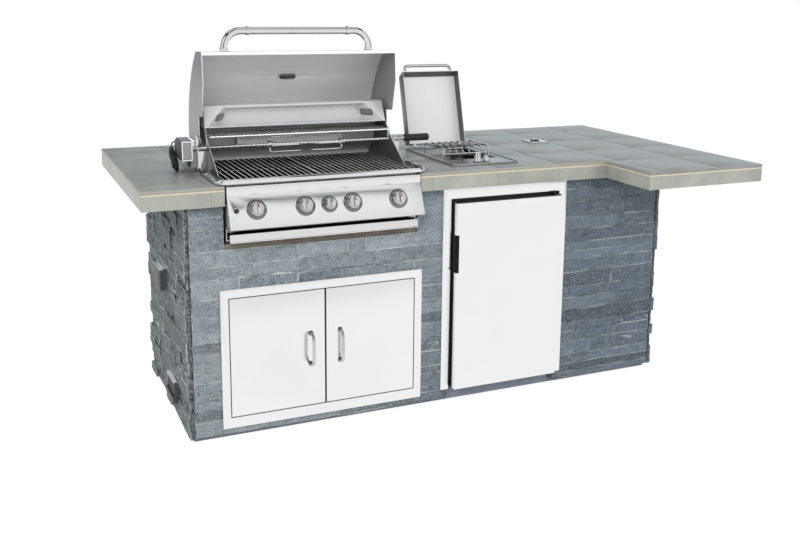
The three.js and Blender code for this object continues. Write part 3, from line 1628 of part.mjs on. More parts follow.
// The hank's turns: runs joined by folds, winding in on one layer and out again on the next.
function hankRoute() {
  const perTurn = 2 * (hankRunSteps + hankFoldSteps);
  const total = hankTurns * perTurn + hankRunSteps;
  const climbFrom = (hankTurns / 2) * perTurn;
  const route = [];
  for (let i = 0; i <= total; i++) {
    const turn = i / perTurn;
    const radius = hankFoldRadius - hankTurnPitch * Math.min(turn, hankTurns - turn);
    const climb = Math.min(1, Math.max(0, (i - climbFrom) / hankRunSteps));
    const aside = Math.max(0, (i - hankTurns * perTurn) / hankRunSteps);
    const x = hankAcross - hankLayerPitch * climb - plugAside * aside;
    const k = i % perTurn;
    if (k <= hankRunSteps) {
      const share = k / hankRunSteps;
      route.push(hankPoint(hankRun * (1 - share), radius - hankWaist * Math.sin(Math.PI * share), x));
    } else if (k <= hankRunSteps + hankFoldSteps) {
      const angle = (Math.PI * (k - hankRunSteps)) / hankFoldSteps;
      route.push(hankPoint(-radius * Math.sin(angle), radius * Math.cos(angle), x));
    } else if (k <= 2 * hankRunSteps + hankFoldSteps) {
      const share = (k - hankRunSteps - hankFoldSteps) / hankRunSteps;
      route.push(hankPoint(hankRun * share, -radius + hankWaist * Math.sin(Math.PI * share), x));
    } else {
      const angle = (Math.PI * (k - 2 * hankRunSteps - hankFoldSteps)) / hankFoldSteps;
      route.push(hankPoint(hankRun + radius * Math.sin(angle), -radius * Math.cos(angle), x));
    }
  }
  const start = hankPoint(hankRun + hankEndLength, hankFoldRadius, hankAcross);
  const lastRadius = hankFoldRadius + (hankTurnPitch * hankRunSteps) / perTurn;
  const end = hankPoint(-hankEndLength, lastRadius, hankAcross - hankLayerPitch - plugAside);
  return { route: [start, ...route, end], end };
}

// The least gap between stretches of the hank that aren't neighbours, measured on many points.
function leastGap(points) {
  const fine = [];
  for (let i = 0; i < points.length - 1; i++) {
    for (let k = 0; k < gapSamples; k++) {
      fine.push(points[i].map((value, axis) => value + ((points[i + 1][axis] - value) * k) / gapSamples));
    }
  }
  const skip = gapSamples * (hankFoldSteps + hankRunSteps);
  let least = Infinity;
  for (let i = 0; i < fine.length; i++) {
    for (let k = i + skip; k < fine.length; k++) {
      const distance = Math.hypot(...fine[i].map((value, axis) => value - fine[k][axis]));
      least = Math.min(least, distance);
    }
  }
  return least - 2 * cordRadius;
}

// The cord's free lead, its hank and its plug.
function makeCord() {
  const { route, end } = hankRoute();
  console.log("least gap in the hank: " + leastGap(route).toFixed(2) + " mm");
  const beforeHank = hankPoint(hankRun + hankEndLength + seat, hankFoldRadius, hankAcross);
  const straight = hankPoint(hankRun + 2 * hankEndLength + 2 * seat, hankFoldRadius, hankAcross);
  const throughs = [...leadRoute, straight].map((point) => new THREE.Vector3(...point));
  const curve = new THREE.CatmullRomCurve3(throughs);
  const lead = curve.getSpacedPoints(leadSteps).map((point) => point.toArray());
  lead[0] = leadRoute[0];
  const leadMesh = mesh("cord_lead", routed([...lead, beforeHank], cordRadius), rubber);
  const hank = mesh("cord_hank", routed(route, cordRadius, hankSides), rubber);
  const plugBody = placed(...end, mesh("plug", plugSolid(), rubber));
  plugBody.rotation.x = Math.PI / 2 + hankLean;
  return [leadMesh, hank, plugBody];
}

// The plug, heading along +Z from the cord: neck, body and two flat prongs.
function plugSolid() {
  const neckEnd = seat + plugNeckLength;
  const neck = rodZ(0, 0, seat, neckEnd, plugNeckStart, pipeSides, plugNeckRadius);
  const bodyEnd = neckEnd + plugLength;
  const body = prismZ(clipped(plugWidth, plugHeight, plugCorner), neckEnd - plugSink, bodyEnd);
  const blades = [prongSpread, -prongSpread].map((y) => {
    const [y0, y1] = [y - prongWidth / 2, y + prongWidth / 2];
    return centredBox(prongHeight / 2, y0, y1, bodyEnd - plugSink, bodyEnd + prongLength);
  });
  return union(neck, body, blades);
}

// The side burner's tray: a flange with a raised edge, a sunk pan and two hinge ears.
function makeBurnerTray() {
  const top = seat + burnerTrayThickness;
  const slab = (inset, z0, z1) =>
    centredBox(burnerTrayHalf - inset, burnerTrayFront + inset, burnerTrayBack - inset, z0, z1);
  const flange = slab(0, seat, top);
  const hollow = slab(burnerTrayLip, 0, top + burnerTrayLip + overrun);
  const rise = slab(0, seat, top + burnerTrayLip).subtract(hollow);
  const well = (inset, z0, z1) =>
    centredBox(burnerPanHalf - inset, burnerPanFront + inset, burnerPanBack - inset, z0, z1);
  const pan = well(0, -burnerPanDepth, top);
  const inside = well(burnerPanSheet, -burnerPanDepth + burnerPanSheet, top + overrun);
  const earIn = lidHalf - lidHingeInset;
  const earOut = earIn + lidHingeLength;
  const earFront = lidHingeDepth - lidHingeRadius;
  const ear = union(
    box(earIn, earOut, earFront, earFront + 2 * lidHingeRadius, seat, lidHingeHeight),
    rodX(earIn, earOut, lidHingeDepth, lidHingeHeight, lidHingeRadius, roundSides),
  );
  return mesh("side_burner_tray", union(flange, rise, pan).subtract(inside).add(pair(ear)), steel);
}

// The side burner's head on the pan's floor.
function makeBurnerHead() {
  const foot = -burnerPanDepth + burnerPanSheet + seat;
  const top = foot + burnerHeadHeight;
  const profile = [
    [0, foot],
    [burnerNeckRadius, foot],
    [burnerNeckRadius, foot + burnerHeadHeight / 2],
    [burnerHeadRadius, top - burnerHeadRim],
    [burnerHeadRadius, top],
    [burnerCapRadius, top],
    [burnerCapRadius, top + burnerCapHeight / 2],
    [burnerCapRadius * smallKnobShare, top + burnerCapHeight],
    [0, top + burnerCapHeight],
  ];
  return placed(0, burnerHeadDepth, 0, mesh("side_burner_head", turned(profile), brass));
}

// The side burner's grate: bent rods on legs, tied across at their feet and half way down.
function makeBurnerGrate() {
  const foot = -burnerPanDepth + burnerPanSheet + seat;
  const top = burnerGrateTop - burnerGrateRadius;
  const outer = burnerGrateHalf - burnerGrateRadius;
  const y0 = burnerGrateFront;
  const y1 = burnerGrateBack;
  const rods = [];
  for (let i = 0; i < burnerGrateRods; i++) {
    const x = -outer + (2 * outer * i) / (burnerGrateRods - 1);
    const ends = i % (burnerGrateRods - 1) ? top - burnerTieDrop : foot;
    const corners = [
      [x, y0, ends],
      [x, y0, top],
      [x, y1, top],
      [x, y1, ends],
    ];
    rods.push(routed(rounded(corners, burnerGrateCorner, wireBendSteps), burnerGrateRadius, thinSides));
  }
  const tieZ = top - burnerTieDrop;
  const ties = [y0, y1].map((y) => rodX(-outer, outer, y, tieZ, burnerTieRadius, barSides));
  return mesh("side_burner_grate", union(rods, ties), castIron);
}

// The two side burner knobs, turned with a skirt.
function makeSideKnobs() {
  const foot = seat + burnerTrayThickness + seat;
  const sizes = [
    [sideKnobOffset1, sideKnobRadius1, sideKnobHeight1],
    [sideKnobOffset2, sideKnobRadius2, sideKnobHeight2],
  ];
  return sizes.map(([x, radius, height], i) => {
    const profile = [
      [0, foot],
      [radius + sideKnobSkirt, foot],
      [radius + sideKnobSkirt, foot + sideKnobSkirtHeight],
      [radius, foot + sideKnobSkirtHeight],
      [radius * smallKnobShare, foot + height - sideKnobRound],
      [radius * smallKnobShare - sideKnobRound, foot + height],
      [0, foot + height],
    ];
    return placed(x, sideKnobDepth, 0, mesh("side_knob_" + (i + 1), turned(profile), chrome));
  });
}

// The side burner's lid, drawn closed about its hinge: a shallow pan with a slanted front.
function lidSolid() {
  const backY = -lidBackGap;
  const frontY = -lidBackGap - lidLength;
  const bottom = -lidDrop;
  const top = bottom + lidDepth;
  const outline = [
    [backY, bottom],
    [backY, top],
    [frontY + lidSlope, top],
    [frontY, bottom],
  ];
  const sheet = lidSheet;
  const inside = [
    [backY - sheet, bottom - overrun],
    [backY - sheet, top - sheet],
    [frontY + lidSlope + sheet / 2, top - sheet],
    [frontY + sheet * 2, bottom],
    [frontY + sheet * 2, bottom - overrun],
  ];
  const hollow = prismX(inside, -lidHalf + sheet, lidHalf - sheet);
  const shell = prismX(outline, -lidHalf, lidHalf).subtract(hollow);
  const knuckleOut = lidHalf - lidHingeInset - seat;
  const knuckleIn = knuckleOut - lidHingeLength;
  const knuckle = union(
    rodX(knuckleIn, knuckleOut, 0, 0, lidKnuckleRadius, roundSides),
    box(knuckleIn, knuckleOut, backY - sheet, 0, -lidKnuckleRadius, lidKnuckleRadius),
  );
  return union(shell, pair(knuckle));
}

// The lid's bow handle on the sloping front.
function lidHandleSolid() {
  const corners = [
    [-lidHandleHalf, 0, seat],
    [-lidHandleHalf, 0, lidHandleStandoff],
    [lidHandleHalf, 0, lidHandleStandoff],
    [lidHandleHalf, 0, seat],
  ];
  const bow = routed(rounded(corners, lidHandleBend, doorBendSteps), lidHandleRadius, pipeSides);
  const ferrule = rodZ(lidHandleHalf, 0, seat, seat + lidFerruleLength, lidFerruleRadius, pipeSides);
  return union(bow, pair(ferrule));
}

function makeLid() {
  const handle = placed(0, -lidBackGap - lidLength + lidSlope / 2, -lidDrop + lidDepth / 2);
  handle.rotation.x = Math.atan2(lidDepth, lidSlope);
  handle.add(mesh("side_burner_handle", lidHandleSolid(), chrome));
  const shell = mesh("side_burner_lid", lidSolid(), steel);
  const lid = placed(0, lidHingeDepth, lidHingeHeight, shell, handle);
  lid.rotation.x = -lidOpenTurn;
  return lid;
}

// The cabinet door frame: a flange over the stones and a box let into the wall.
function makeDoorFrame() {
  const half = doorFrameHalf - doorStile;
  const bottom = doorFrameBottom + doorBottomRail;
  const top = doorFrameTop - doorTopRail;
  const face = stoneFace - seat;
  const front = face - doorFlange;
  const flange = centredBox(doorFrameHalf, front, face, doorFrameBottom, doorFrameTop);
  const sleeveEnd = doorFrameDepth + stoneFace;
  const sleeve = centredBox(half + doorFlange, front, sleeveEnd, bottom - doorFlange, top + doorFlange);
  const hole = centredBox(half, front - overrun, sleeveEnd + overrun, bottom, top);
  return mesh("door_frame", union(flange, sleeve).subtract(hole), steel);
}

// A cabinet door: a thin pan, open at its back, hung at its outer edge.
function makeDoors() {
  const half = doorFrameHalf - doorStile;
  const bottom = doorFrameBottom + doorBottomRail + doorGap;
  const top = doorFrameTop - doorTopRail - doorGap;
  const front = stoneFace - seat - doorFlange;
  const width = half - 2 * doorGap;
  return ["left", "right"].flatMap((name, i) => {
    const side = i ? 1 : -1;
    const hinge = side * (half - doorGap);
    const inner = hinge - side * width;
    const [x0, x1] = [Math.min(hinge, inner), Math.max(hinge, inner)];
    const sheet = doorSheet;
    const hollowEnd = front + doorThickness + overrun;
    const hollow = box(x0 + sheet, x1 - sheet, front + sheet, hollowEnd, bottom + sheet, top - sheet);
    const pan = box(x0, x1, front, front + doorThickness, bottom, top).subtract(hollow);
    const x = side * doorHandleOffset;
    const z0 = doorHandleBottom + doorFootRadius;
    const z1 = doorHandleBottom + doorHandleLength - doorFootRadius;
    const out = front - doorHandleStandoff;
    const foot = front - seat;
    const corners = [
      [x, foot, z0],
      [x, out, z0],
      [x, out, z1],
      [x, foot, z1],
    ];
    const feet = [z0, z1].map((z) =>
      rodY(x, foot, foot - doorFootHeight, z, doorFootRadius, pipeSides, doorHandleRadius),
    );
    const handle = union(routed(rounded(corners, doorHandleBend, doorBendSteps), doorHandleRadius), feet);
    return [mesh("door_" + name, pan, steel), mesh("door_handle_" + name, handle, chrome)];
  });
}

// The pins at the top and bottom of the fridge door's hinge side, or with a clearance their bores.
function fridgePins(aside, beyond) {
  const x = fridgeDoorHalf - fridgeHingeInset;
  const y = fridgeDoorFront + fridgeHingeInset;
  const ends = [
    [fridgeDoorTop + seat + fridgeBracketThickness, fridgeDoorTop - fridgePinLength - beyond],
    [fridgeDoorBottom - seat - fridgeBracketThickness, fridgeDoorBottom + fridgePinLength + beyond],
  ];
  return union(ends.map(([from, to]) => rodZ(x, y, from, to, fridgePinRadius + aside)));
}

// The fridge: trim over the stones, an insulated cabinet with a shelf, and a thick door.
function makeFridge() {
  const face = stoneFace - seat;
  const front = face - doorFlange;
  const half = fridgeOpeningHalf;
  const bottom = fridgeOpeningBottom;
  const flange = centredBox(fridgeTrimHalf, front, face, bottom, wallTop - seat);
  const sleeveEnd = doorFrameDepth + stoneFace;
  const sleeve = centredBox(half + doorFlange, front, sleeveEnd, bottom, fridgeOpeningTop + doorFlange);
  const hole = centredBox(half, front - overrun, sleeveEnd + overrun, bottom - overrun, fridgeOpeningTop);
  const trim = mesh("fridge_trim", union(flange, sleeve).subtract(hole), steel);

  const outer = half - fridgeClear;
  const floor = plinthHeight + thresholdHeight + seat;
  const ceiling = fridgeOpeningTop - fridgeClear;
  const shellBox = centredBox(outer, fridgeCabinetFront, fridgeCabinetBack, floor, ceiling);
  const room = outer - fridgeWall;
  const roomBack = fridgeCabinetBack - fridgeWall;
  const roomFloor = floor + fridgeWall;
  const roomTop = ceiling - fridgeWall;
  const inside = centredBox(room, fridgeCabinetFront - overrun, roomBack, roomFloor, roomTop);
  const ribTop = fridgeShelfHeight - seat;
  const ribIn = room - fridgeRib;
  const rib = box(ribIn, outer - seat, fridgeShelfFront, roomBack + seat, ribTop - fridgeRib, ribTop);
  const foot = box(
    outer - fridgeFootWidth,
    outer,
    fridgeCabinetBack - fridgeFootDepth,
    fridgeCabinetBack,
    plinthHeight + seat,
    floor + overrun,
  );
  const brackets = [fridgeDoorTop + seat, fridgeDoorBottom - seat - fridgeBracketThickness].map((z) =>
    box(
      fridgeDoorHalf - fridgeBracketWidth,
      fridgeDoorHalf,
      fridgeDoorFront + fridgeSealGap,
      fridgeCabinetFront + overrun,
      z,
      z + fridgeBracketThickness,
    ),
  );
  const pins = fridgePins(0, 0);
  const cabinetBody = union(shellBox.subtract(inside), pair(union(rib, foot)), brackets, pins);
  const cabinet = mesh("fridge_cabinet", cabinetBody, fridgeWhite);

  const doorBack = fridgeCabinetFront - fridgeSealGap;
  const slab = centredBox(fridgeDoorHalf, fridgeDoorFront, doorBack, fridgeDoorBottom, fridgeDoorTop);
  const grip = box(
    -fridgeDoorHalf - overrun,
    -fridgeDoorHalf + fridgeGripWidth,
    fridgeDoorFront - overrun,
    fridgeDoorFront + fridgeGripDepth,
    fridgeGripBottom,
    fridgeGripBottom + fridgeGripHeight,
  );
  const liner = centredBox(
    ribIn,
    doorBack - fridgeLinerDepth,
    doorBack + overrun,
    roomFloor + fridgeRib,
    roomTop - fridgeRib,
  );
  const door = mesh("fridge_door", slab.subtract(union(grip, liner, fridgePins(fridgePinClear, seat))), steel);

  const shelfHalf = room - seat;
  const shelfBack = roomBack - seat;
  const shelfTop = fridgeShelfHeight + fridgeShelfThickness;
  const plate = centredBox(shelfHalf, fridgeShelfFront, shelfBack, fridgeShelfHeight, shelfTop);
  const pitch = (2 * shelfHalf - fridgeShelfRail) / fridgeShelfSlots;
  const slots = [];
  const slotFront = fridgeShelfFront + fridgeShelfRail;
  const slotBack = shelfBack - fridgeShelfRail;
  for (let i = 0; i < fridgeShelfSlots; i++) {
    const x0 = -shelfHalf + fridgeShelfRail + i * pitch;
    const x1 = x0 + pitch - fridgeShelfRail;
    slots.push(box(x0, x1, slotFront, slotBack, fridgeShelfHeight - overrun, shelfTop + overrun));
  }
  const shelf = mesh("fridge_shelf", plate.subtract(union(slots)), chrome);
  return placed(fridgeAcross, baseFront, 0, trim, cabinet, door, shelf);
}

// The whole island.
const island = new THREE.Group();
island.add(makePlinth(), makeFrame(), ...makeWalls(), makeOutlet(), makeVent());
island.add(...makeCounter(), makeUmbrellaPlate());
const grill = placed(grillAcross, baseFront, counterHeight);
grill.add(makeFirebox(), makeHeadRim(), makeBaffle(), ...makeLamps());
grill.add(makePanel(), ...makeKnobs(), makeIgniter(), makeBurners(), makeTamer(), ...makeGrates());
grill.add(makeDripTray(), makeSill(), makeBackBurner(), makeRack());
grill.add(makeHood(), makeSpit(), makeMotor(), makeRelief(), ...makeCord());
island.add(grill);
const sideBurner = placed(sideBurnerAcross, baseFront, counterHeight);
sideBurner.add(makeBurnerTray(), makeBurnerHead(), makeBurnerGrate(), ...makeSideKnobs(), makeLid());
island.add(sideBurner);
island.add(placed(grillAcross, baseFront, 0, makeDoorFrame(), makeDoors()));
island.add(makeFridge());

export default island;
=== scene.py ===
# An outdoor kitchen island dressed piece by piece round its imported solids, in metres.
import json
import math
import random

import bpy
from mathutils import Matrix, Vector

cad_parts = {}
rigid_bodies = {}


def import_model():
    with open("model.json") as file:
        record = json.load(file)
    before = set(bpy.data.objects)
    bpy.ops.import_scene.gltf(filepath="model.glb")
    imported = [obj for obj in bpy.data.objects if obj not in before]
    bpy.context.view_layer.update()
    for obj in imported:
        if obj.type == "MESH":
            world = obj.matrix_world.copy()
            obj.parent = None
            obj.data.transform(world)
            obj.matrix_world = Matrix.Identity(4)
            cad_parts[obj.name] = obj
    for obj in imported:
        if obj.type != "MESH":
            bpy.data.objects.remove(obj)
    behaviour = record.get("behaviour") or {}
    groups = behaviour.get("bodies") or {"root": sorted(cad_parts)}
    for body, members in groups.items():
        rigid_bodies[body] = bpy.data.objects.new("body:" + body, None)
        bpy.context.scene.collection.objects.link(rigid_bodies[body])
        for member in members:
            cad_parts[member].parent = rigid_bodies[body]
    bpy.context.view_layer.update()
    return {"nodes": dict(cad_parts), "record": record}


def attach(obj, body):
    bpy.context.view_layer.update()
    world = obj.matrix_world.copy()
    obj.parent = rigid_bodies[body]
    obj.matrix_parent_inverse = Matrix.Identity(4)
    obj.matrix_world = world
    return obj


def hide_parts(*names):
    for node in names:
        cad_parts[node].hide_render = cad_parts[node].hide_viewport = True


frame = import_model()
scene = bpy.context.scene
nodes = frame["nodes"]

# The camera stands left of the island's front, a little above head height, and looks across it.
# Its lens is shifted, as in the picture, so that upright edges stay nearly upright.
def add_object(name, data):
    """An object in the scene, with its data."""
    item = bpy.data.objects.new(name, data)
    scene.collection.objects.link(item)
    return item


camera_data = bpy.data.cameras.new("studio_camera")
camera = add_object("studio_camera", camera_data)
camera_right = Vector((0.9096, -0.4153, 0.0128))
camera_up = Vector((0.071, 0.1856, 0.9801))
camera_back = camera_right.cross(camera_up)
camera.matrix_world = Matrix.Translation((-1.7558, -3.7901, 1.6432)) @ Matrix(
    (camera_right, camera_up, camera_back)).transposed().to_4x4()
camera_data.sensor_width = 36
camera_data.lens = 44.41
camera_data.shift_x = -0.0268
camera_data.shift_y = -0.0873
camera_data.clip_start = 0.05
scene.camera = camera

# The studio: a white floor that keeps the island's soft shadow, a light surround in which metal
# mirrors a few dark flags, and four large soft lamps.
scene.view_settings.view_transform = "Standard"


def new_material(name):
    """A node material, its tree and its Principled shader."""
    material = bpy.data.materials.new(name)
    material.use_nodes = True
    tree = material.node_tree
    return material, tree, tree.nodes["Principled BSDF"]


def add_node(tree, kind, inputs=None, **settings):
    """Adds a node, joins its inputs to the sockets given and sets the others to the values given."""
    node = tree.nodes.new(kind)
    for key, value in settings.items():
        setattr(node, key, value)
    for key, value in (inputs or {}).items():
        if isinstance(value, bpy.types.NodeSocket):
            tree.links.new(value, node.inputs[key])
        else:
            node.inputs[key].default_value = value
    return node


# Each of the next functions adds one node and hands back the socket of its result.
def ramped(tree, value, stops):
    """A colour looked up on a ramp, whose stops are a place and a colour or a grey each."""
    ramp = add_node(tree, "ShaderNodeValToRGB", {0: value})
    elements = ramp.color_ramp.elements
    while len(elements) < len(stops):
        elements.new(0.5)
    for stop, (place, colour) in zip(elements, stops):
        stop.position = place
        stop.color = (colour, colour, colour, 1) if isinstance(colour, float) else (*colour, 1)
    return ramp.outputs[0]


def rescaled(tree, value, low, high, bottom=0.0, top=1.0):
    """A value taken from the range low to high into the range bottom to top, and held there."""
    return add_node(tree, "ShaderNodeMapRange", {0: value, 1: low, 2: high, 3: bottom, 4: top}).outputs[0]


def worked_out(tree, operation, first, second=0.0):
    """The result of a sum."""
    return add_node(tree, "ShaderNodeMath", {0: first, 1: second}, operation=operation).outputs[0]


def blended(tree, share, first, second, kind="MIX"):
    """Two colours mixed, or multiplied."""
    first, second = (colour if isinstance(colour, bpy.types.NodeSocket) else (*colour, 1)
                     for colour in (first, second))
    return add_node(tree, "ShaderNodeMix", {0: share, 6: first, 7: second},
                    data_type="RGBA", blend_type=kind).outputs[2]


def shader_mix(tree, share, first, second):
    """Two shaders mixed."""
    return add_node(tree, "ShaderNodeMixShader", {0: share, 1: first, 2: second}).outputs[0]


def shining(tree, kind, colour, strength):
    """A background or an emission."""
    return add_node(tree, kind, {
        "Color": colour if isinstance(colour, bpy.types.NodeSocket) else (*colour, 1),
        "Strength": strength}).outputs[0]


pure_white = (1, 1, 1)
world = bpy.data.worlds.new("studio_world")
scene.world = world
world.use_nodes = True
surround = world.node_tree
surround.nodes.clear()
direction = add_node(surround, "ShaderNodeTexCoord").outputs["Generated"]
at = add_node(surround, "ShaderNodeSeparateXYZ", {0: direction}).outputs
height = rescaled(surround, at["Z"], -1.0, 1.0)
bands = ramped(surround, height, [
    (0.0, 0.8), (0.495, 0.8), (0.505, 0.84), (0.55, 0.84), (0.60, 0.92), (0.66, 1.0), (0.82, 1.0),
    (0.84, 0.05), (0.90, 0.04), (0.93, 0.90), (1.0, 0.80)])
bearing = worked_out(surround, "ARCTAN2", at["Y"], at["X"])
flags = ramped(surround, rescaled(surround, bearing, -math.pi, math.pi), [
    (0.0, 1.0), (0.10, 1.0), (0.125, 0.10), (0.165, 0.10), (0.19, 1.0), (0.385, 1.0), (0.40, 0.12),
    (0.43, 0.12), (0.45, 1.0), (0.70, 0.9), (0.74, 0.25), (0.84, 0.25), (0.88, 0.9)])
pale_curtain = (0.80, 0.88, 0.95)
dark_curtain = (0.06, 0.06, 0.065)
curtain = ramped(surround, height, [
    (0.0, pale_curtain), (0.70, pale_curtain), (0.75, dark_curtain), (0.86, dark_curtain), (0.92, 0.7)])
room = blended(surround, rescaled(surround, at["Y"], 0.1, 0.5), bands, curtain)
mirrored = blended(surround, 1.0, room, flags, "MULTIPLY")
rays = add_node(surround, "ShaderNodeLightPath").outputs
seen_sky = shining(surround, "ShaderNodeBackground", pure_white, 1.0)
mirrored_sky = shining(surround, "ShaderNodeBackground", mirrored, 1.0)
ambient = shining(surround, "ShaderNodeBackground", (0.96, 0.98, 1.0), 0.62)
other_sky = shader_mix(surround, rays["Is Glossy Ray"], ambient, mirrored_sky)
plainly_seen = worked_out(surround, "MAXIMUM", rays["Is Camera Ray"], rays["Is Transmission Ray"])
add_node(surround, "ShaderNodeOutputWorld", {
    "Surface": shader_mix(surround, plainly_seen, other_sky, seen_sky)})


def soft_lamp(name, place, target, size, watts):
    """A large lamp that lights the island without showing in its metal."""
    data = bpy.data.lights.new(name, "AREA")
    data.shape = "RECTANGLE"
    data.size, data.size_y = size
    data.energy = watts
    lamp = add_object(name, data)
    lamp.location = place
    lamp.rotation_euler = (Vector(target) - Vector(place)).to_track_quat("-Z", "Y").to_euler()
    lamp.visible_glossy = False


soft_lamp("key_lamp", (-2.6, -3.4, 3.6), (0, 0, 0.6), (2.6, 2.2), 170)
soft_lamp("fill_lamp", (3.4, -3.6, 2.4), (0.2, 0, 0.6), (2.6, 2.4), 115)
soft_lamp("top_lamp", (0.2, 1.2, 4.2), (0, 0, 0.9), (3.4, 2.4), 70)
soft_lamp("rear_lamp", (-2.8, 3.2, 2.8), (-0.2, 0.3, 0.8), (2.4, 2.2), 60)

floor_drop = 0.001
floor_size = 60
shadow_reach = 1.4
plain_from = 3.0
bpy.ops.object.select_all(action="DESELECT")
bpy.ops.mesh.primitive_plane_add(size=1, location=(0, 0, -floor_drop))
floor = bpy.context.object
floor.name = "studio_floor"
floor.data.transform(Matrix.Diagonal((floor_size, floor_size, 1, 1)))
floor_white, tree, shader = new_material("floor_white")
shader.inputs["Base Color"].default_value = (0.8, 0.8, 0.8, 1)
shader.inputs["Roughness"].default_value = 0.8
place = add_node(tree, "ShaderNodeTexCoord").outputs["Object"]
away = add_node(tree, "ShaderNodeVectorMath", {0: place}, operation="LENGTH").outputs["Value"]
glow = shining(tree, "ShaderNodeEmission", pure_white, 0.74)
lit = add_node(tree, "ShaderNodeBsdfDiffuse", {"Color": (0.40, 0.40, 0.40, 1)}).outputs[0]
near_white = add_node(tree, "ShaderNodeAddShader", {0: glow, 1: lit}).outputs[0]
plain_white = shining(tree, "ShaderNodeEmission", pure_white, 1.0)
white = shader_mix(tree, rescaled(tree, away, shadow_reach, plain_from), near_white, plain_white)
rays = add_node(tree, "ShaderNodeLightPath").outputs
mirrored_rays = worked_out(tree, "MAXIMUM", rays["Is Glossy Ray"], rays["Is Transmission Ray"])
unseen_floor = shader_mix(tree, mirrored_rays, shader.outputs[0], plain_white)
tree.links.new(shader_mix(tree, rays["Is Camera Ray"], unseen_floor, white),
               tree.nodes["Material Output"].inputs["Surface"])
floor.data.materials.append(floor_white)

# The spit motor's mains lead: 5 mm black rubber, about 2 m long, with most of it wound into a hank
# beside the motor that rests on the tiles. The innermost folds, at 1.9 diameters, are tighter than
# a mains lead should have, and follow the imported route.
homes = {node: body for body, group in frame["record"]["behaviour"]["bodies"].items() for node in group}
grill_centre = Vector((-0.5715, -0.319, 0.975))
cord_radius = 0.0025
lead_points = [
    (-1.019, 0.0486, 1.06), (-1.01892, 0.05231, 1.05983), (-1.01912, 0.05598, 1.06028),
    (-1.01945, 0.05957, 1.06118), (-1.0199, 0.06309, 1.06229), (-1.02053, 0.06653, 1.06353),
    (-1.02145, 0.06985, 1.06493), (-1.02266, 0.07296, 1.06656), (-1.02405, 0.07588, 1.06839),
    (-1.02569, 0.07862, 1.07028), (-1.02767, 0.08118, 1.0721), (-1.03016, 0.08347, 1.07364),
    (-1.033, 0.08545, 1.07497), (-1.03621, 0.08698, 1.07604), (-1.03982, 0.08747, 1.0765),
    (-1.04325, 0.08625, 1.07588), (-1.04617, 0.08425, 1.07477), (-1.04871, 0.08188, 1.07347),
    (-1.05081, 0.07919, 1.07202), (-1.0523, 0.07621, 1.07038), (-1.05336, 0.07306, 1.06872),
    (-1.05415, 0.06977, 1.06718), (-1.05447, 0.06633, 1.06582), (-1.05447, 0.06283, 1.06456),
    (-1.0545, 0.05934, 1.06329), (-1.0545, 0.05389, 1.0613),
]
hank_lean = 0.35
hank_turns = 6
hank_pitch = 0.0058
hank_fold = 0.026
hank_run = 0.093
hank_waist = 0.0025
hank_aside = 0.012
hank_corner = (-0.483, 0.289, 0.028)
hank_end = 0.0055
hank_steps = 6
fold_steps = 12


def hank_place(along, across, x):
    """A point of the hank from its place along the leaning runs, across them, and its layer."""
    y = hank_corner[1] + along * math.cos(hank_lean) - across * math.sin(hank_lean)
    z = hank_corner[2] + along * math.sin(hank_lean) + across * math.cos(hank_lean)
    return grill_centre + Vector((x, y, z))


def hank_line():
    """The turns wind in on one layer and out again on the next, and the last run swings aside."""
    per_turn = 2 * (hank_steps + fold_steps)
    line = []
    for i in range(hank_turns * per_turn + hank_steps + 1):
        turn = i / per_turn
        radius = hank_fold - hank_pitch * min(turn, hank_turns - turn)
        climb = min(1, max(0, (i - hank_turns / 2 * per_turn) / hank_steps))
        aside = max(0, (i - hank_turns * per_turn) / hank_steps)
        x = hank_corner[0] - hank_pitch * climb - hank_aside * aside
        # A turn is a run and a fold out, then a run and a fold back.
        back, step = divmod(i % per_turn, hank_steps + fold_steps)
        side = -1 if back else 1
        if step <= hank_steps:
            share = step / hank_steps
            along = hank_run * (share if back else 1 - share)
            across = side * (radius - hank_waist * math.sin(math.pi * share))
        else:
            angle = math.pi * (step - hank_steps) / fold_steps
            along = hank_run + radius * math.sin(angle) if back else -radius * math.sin(angle)
            across = side * radius * math.cos(angle)
        line.append(hank_place(along, across, x))
    return line


def surfaced(tree, shader, colour, roughness, height, strength, distance):
    """Joins a colour, a roughness and a bump to a shader."""
    bump = add_node(tree, "ShaderNodeBump", {"Height": height, "Strength": strength, "Distance": distance})
    tree.links.new(colour, shader.inputs["Base Color"])
    tree.links.new(roughness, shader.inputs["Roughness"])
    tree.links.new(bump.outputs[0], shader.inputs["Normal"])


def noise(tree, vector, scale, detail, roughness=0.5, distortion=0.0):
    """Noise between 0 and 1."""
    return add_node(tree, "ShaderNodeTexNoise", {
        "Vector": vector, "Scale": scale, "Detail": detail, "Roughness": roughness,
        "Distortion": distortion}).outputs[0]


def moulded_material(name, colour, roughness, grain=900.0, depth=0.15):
    """Moulded plastic or rubber with a fine spark-eroded skin."""
    material, tree, shader = new_material(name)
    place = add_node(tree, "ShaderNodeTexCoord").outputs["Object"]
    skin = noise(tree, place, grain, 3.0)
    tone = ramped(tree, noise(tree, place, 14.0, 4.0), [
        (0.3, [c * 0.8 for c in colour]), (0.7, [min(1, c * 1.15) for c in colour])])
    rough = rescaled(tree, skin, 0.3, 0.7, roughness * 0.85, min(1, roughness * 1.15))
    surfaced(tree, shader, tone, rough, skin, depth, 0.0004)
    return material


def pick_nothing():
    """Leaves no piece selected."""
    bpy.ops.object.select_all(action="DESELECT")


def pick(piece):
    """Makes one piece the only one selected, and active."""
    pick_nothing()
    piece.select_set(True)
    bpy.context.view_layer.objects.active = piece


def edit(kind=None, every=False):
    """Enters edit mode, for a kind of element, and selects every one if asked."""
    bpy.ops.object.mode_set(mode="EDIT")
    if kind:
        bpy.ops.mesh.select_mode(type=kind)
    if every:
        bpy.ops.mesh.select_all(action="SELECT")


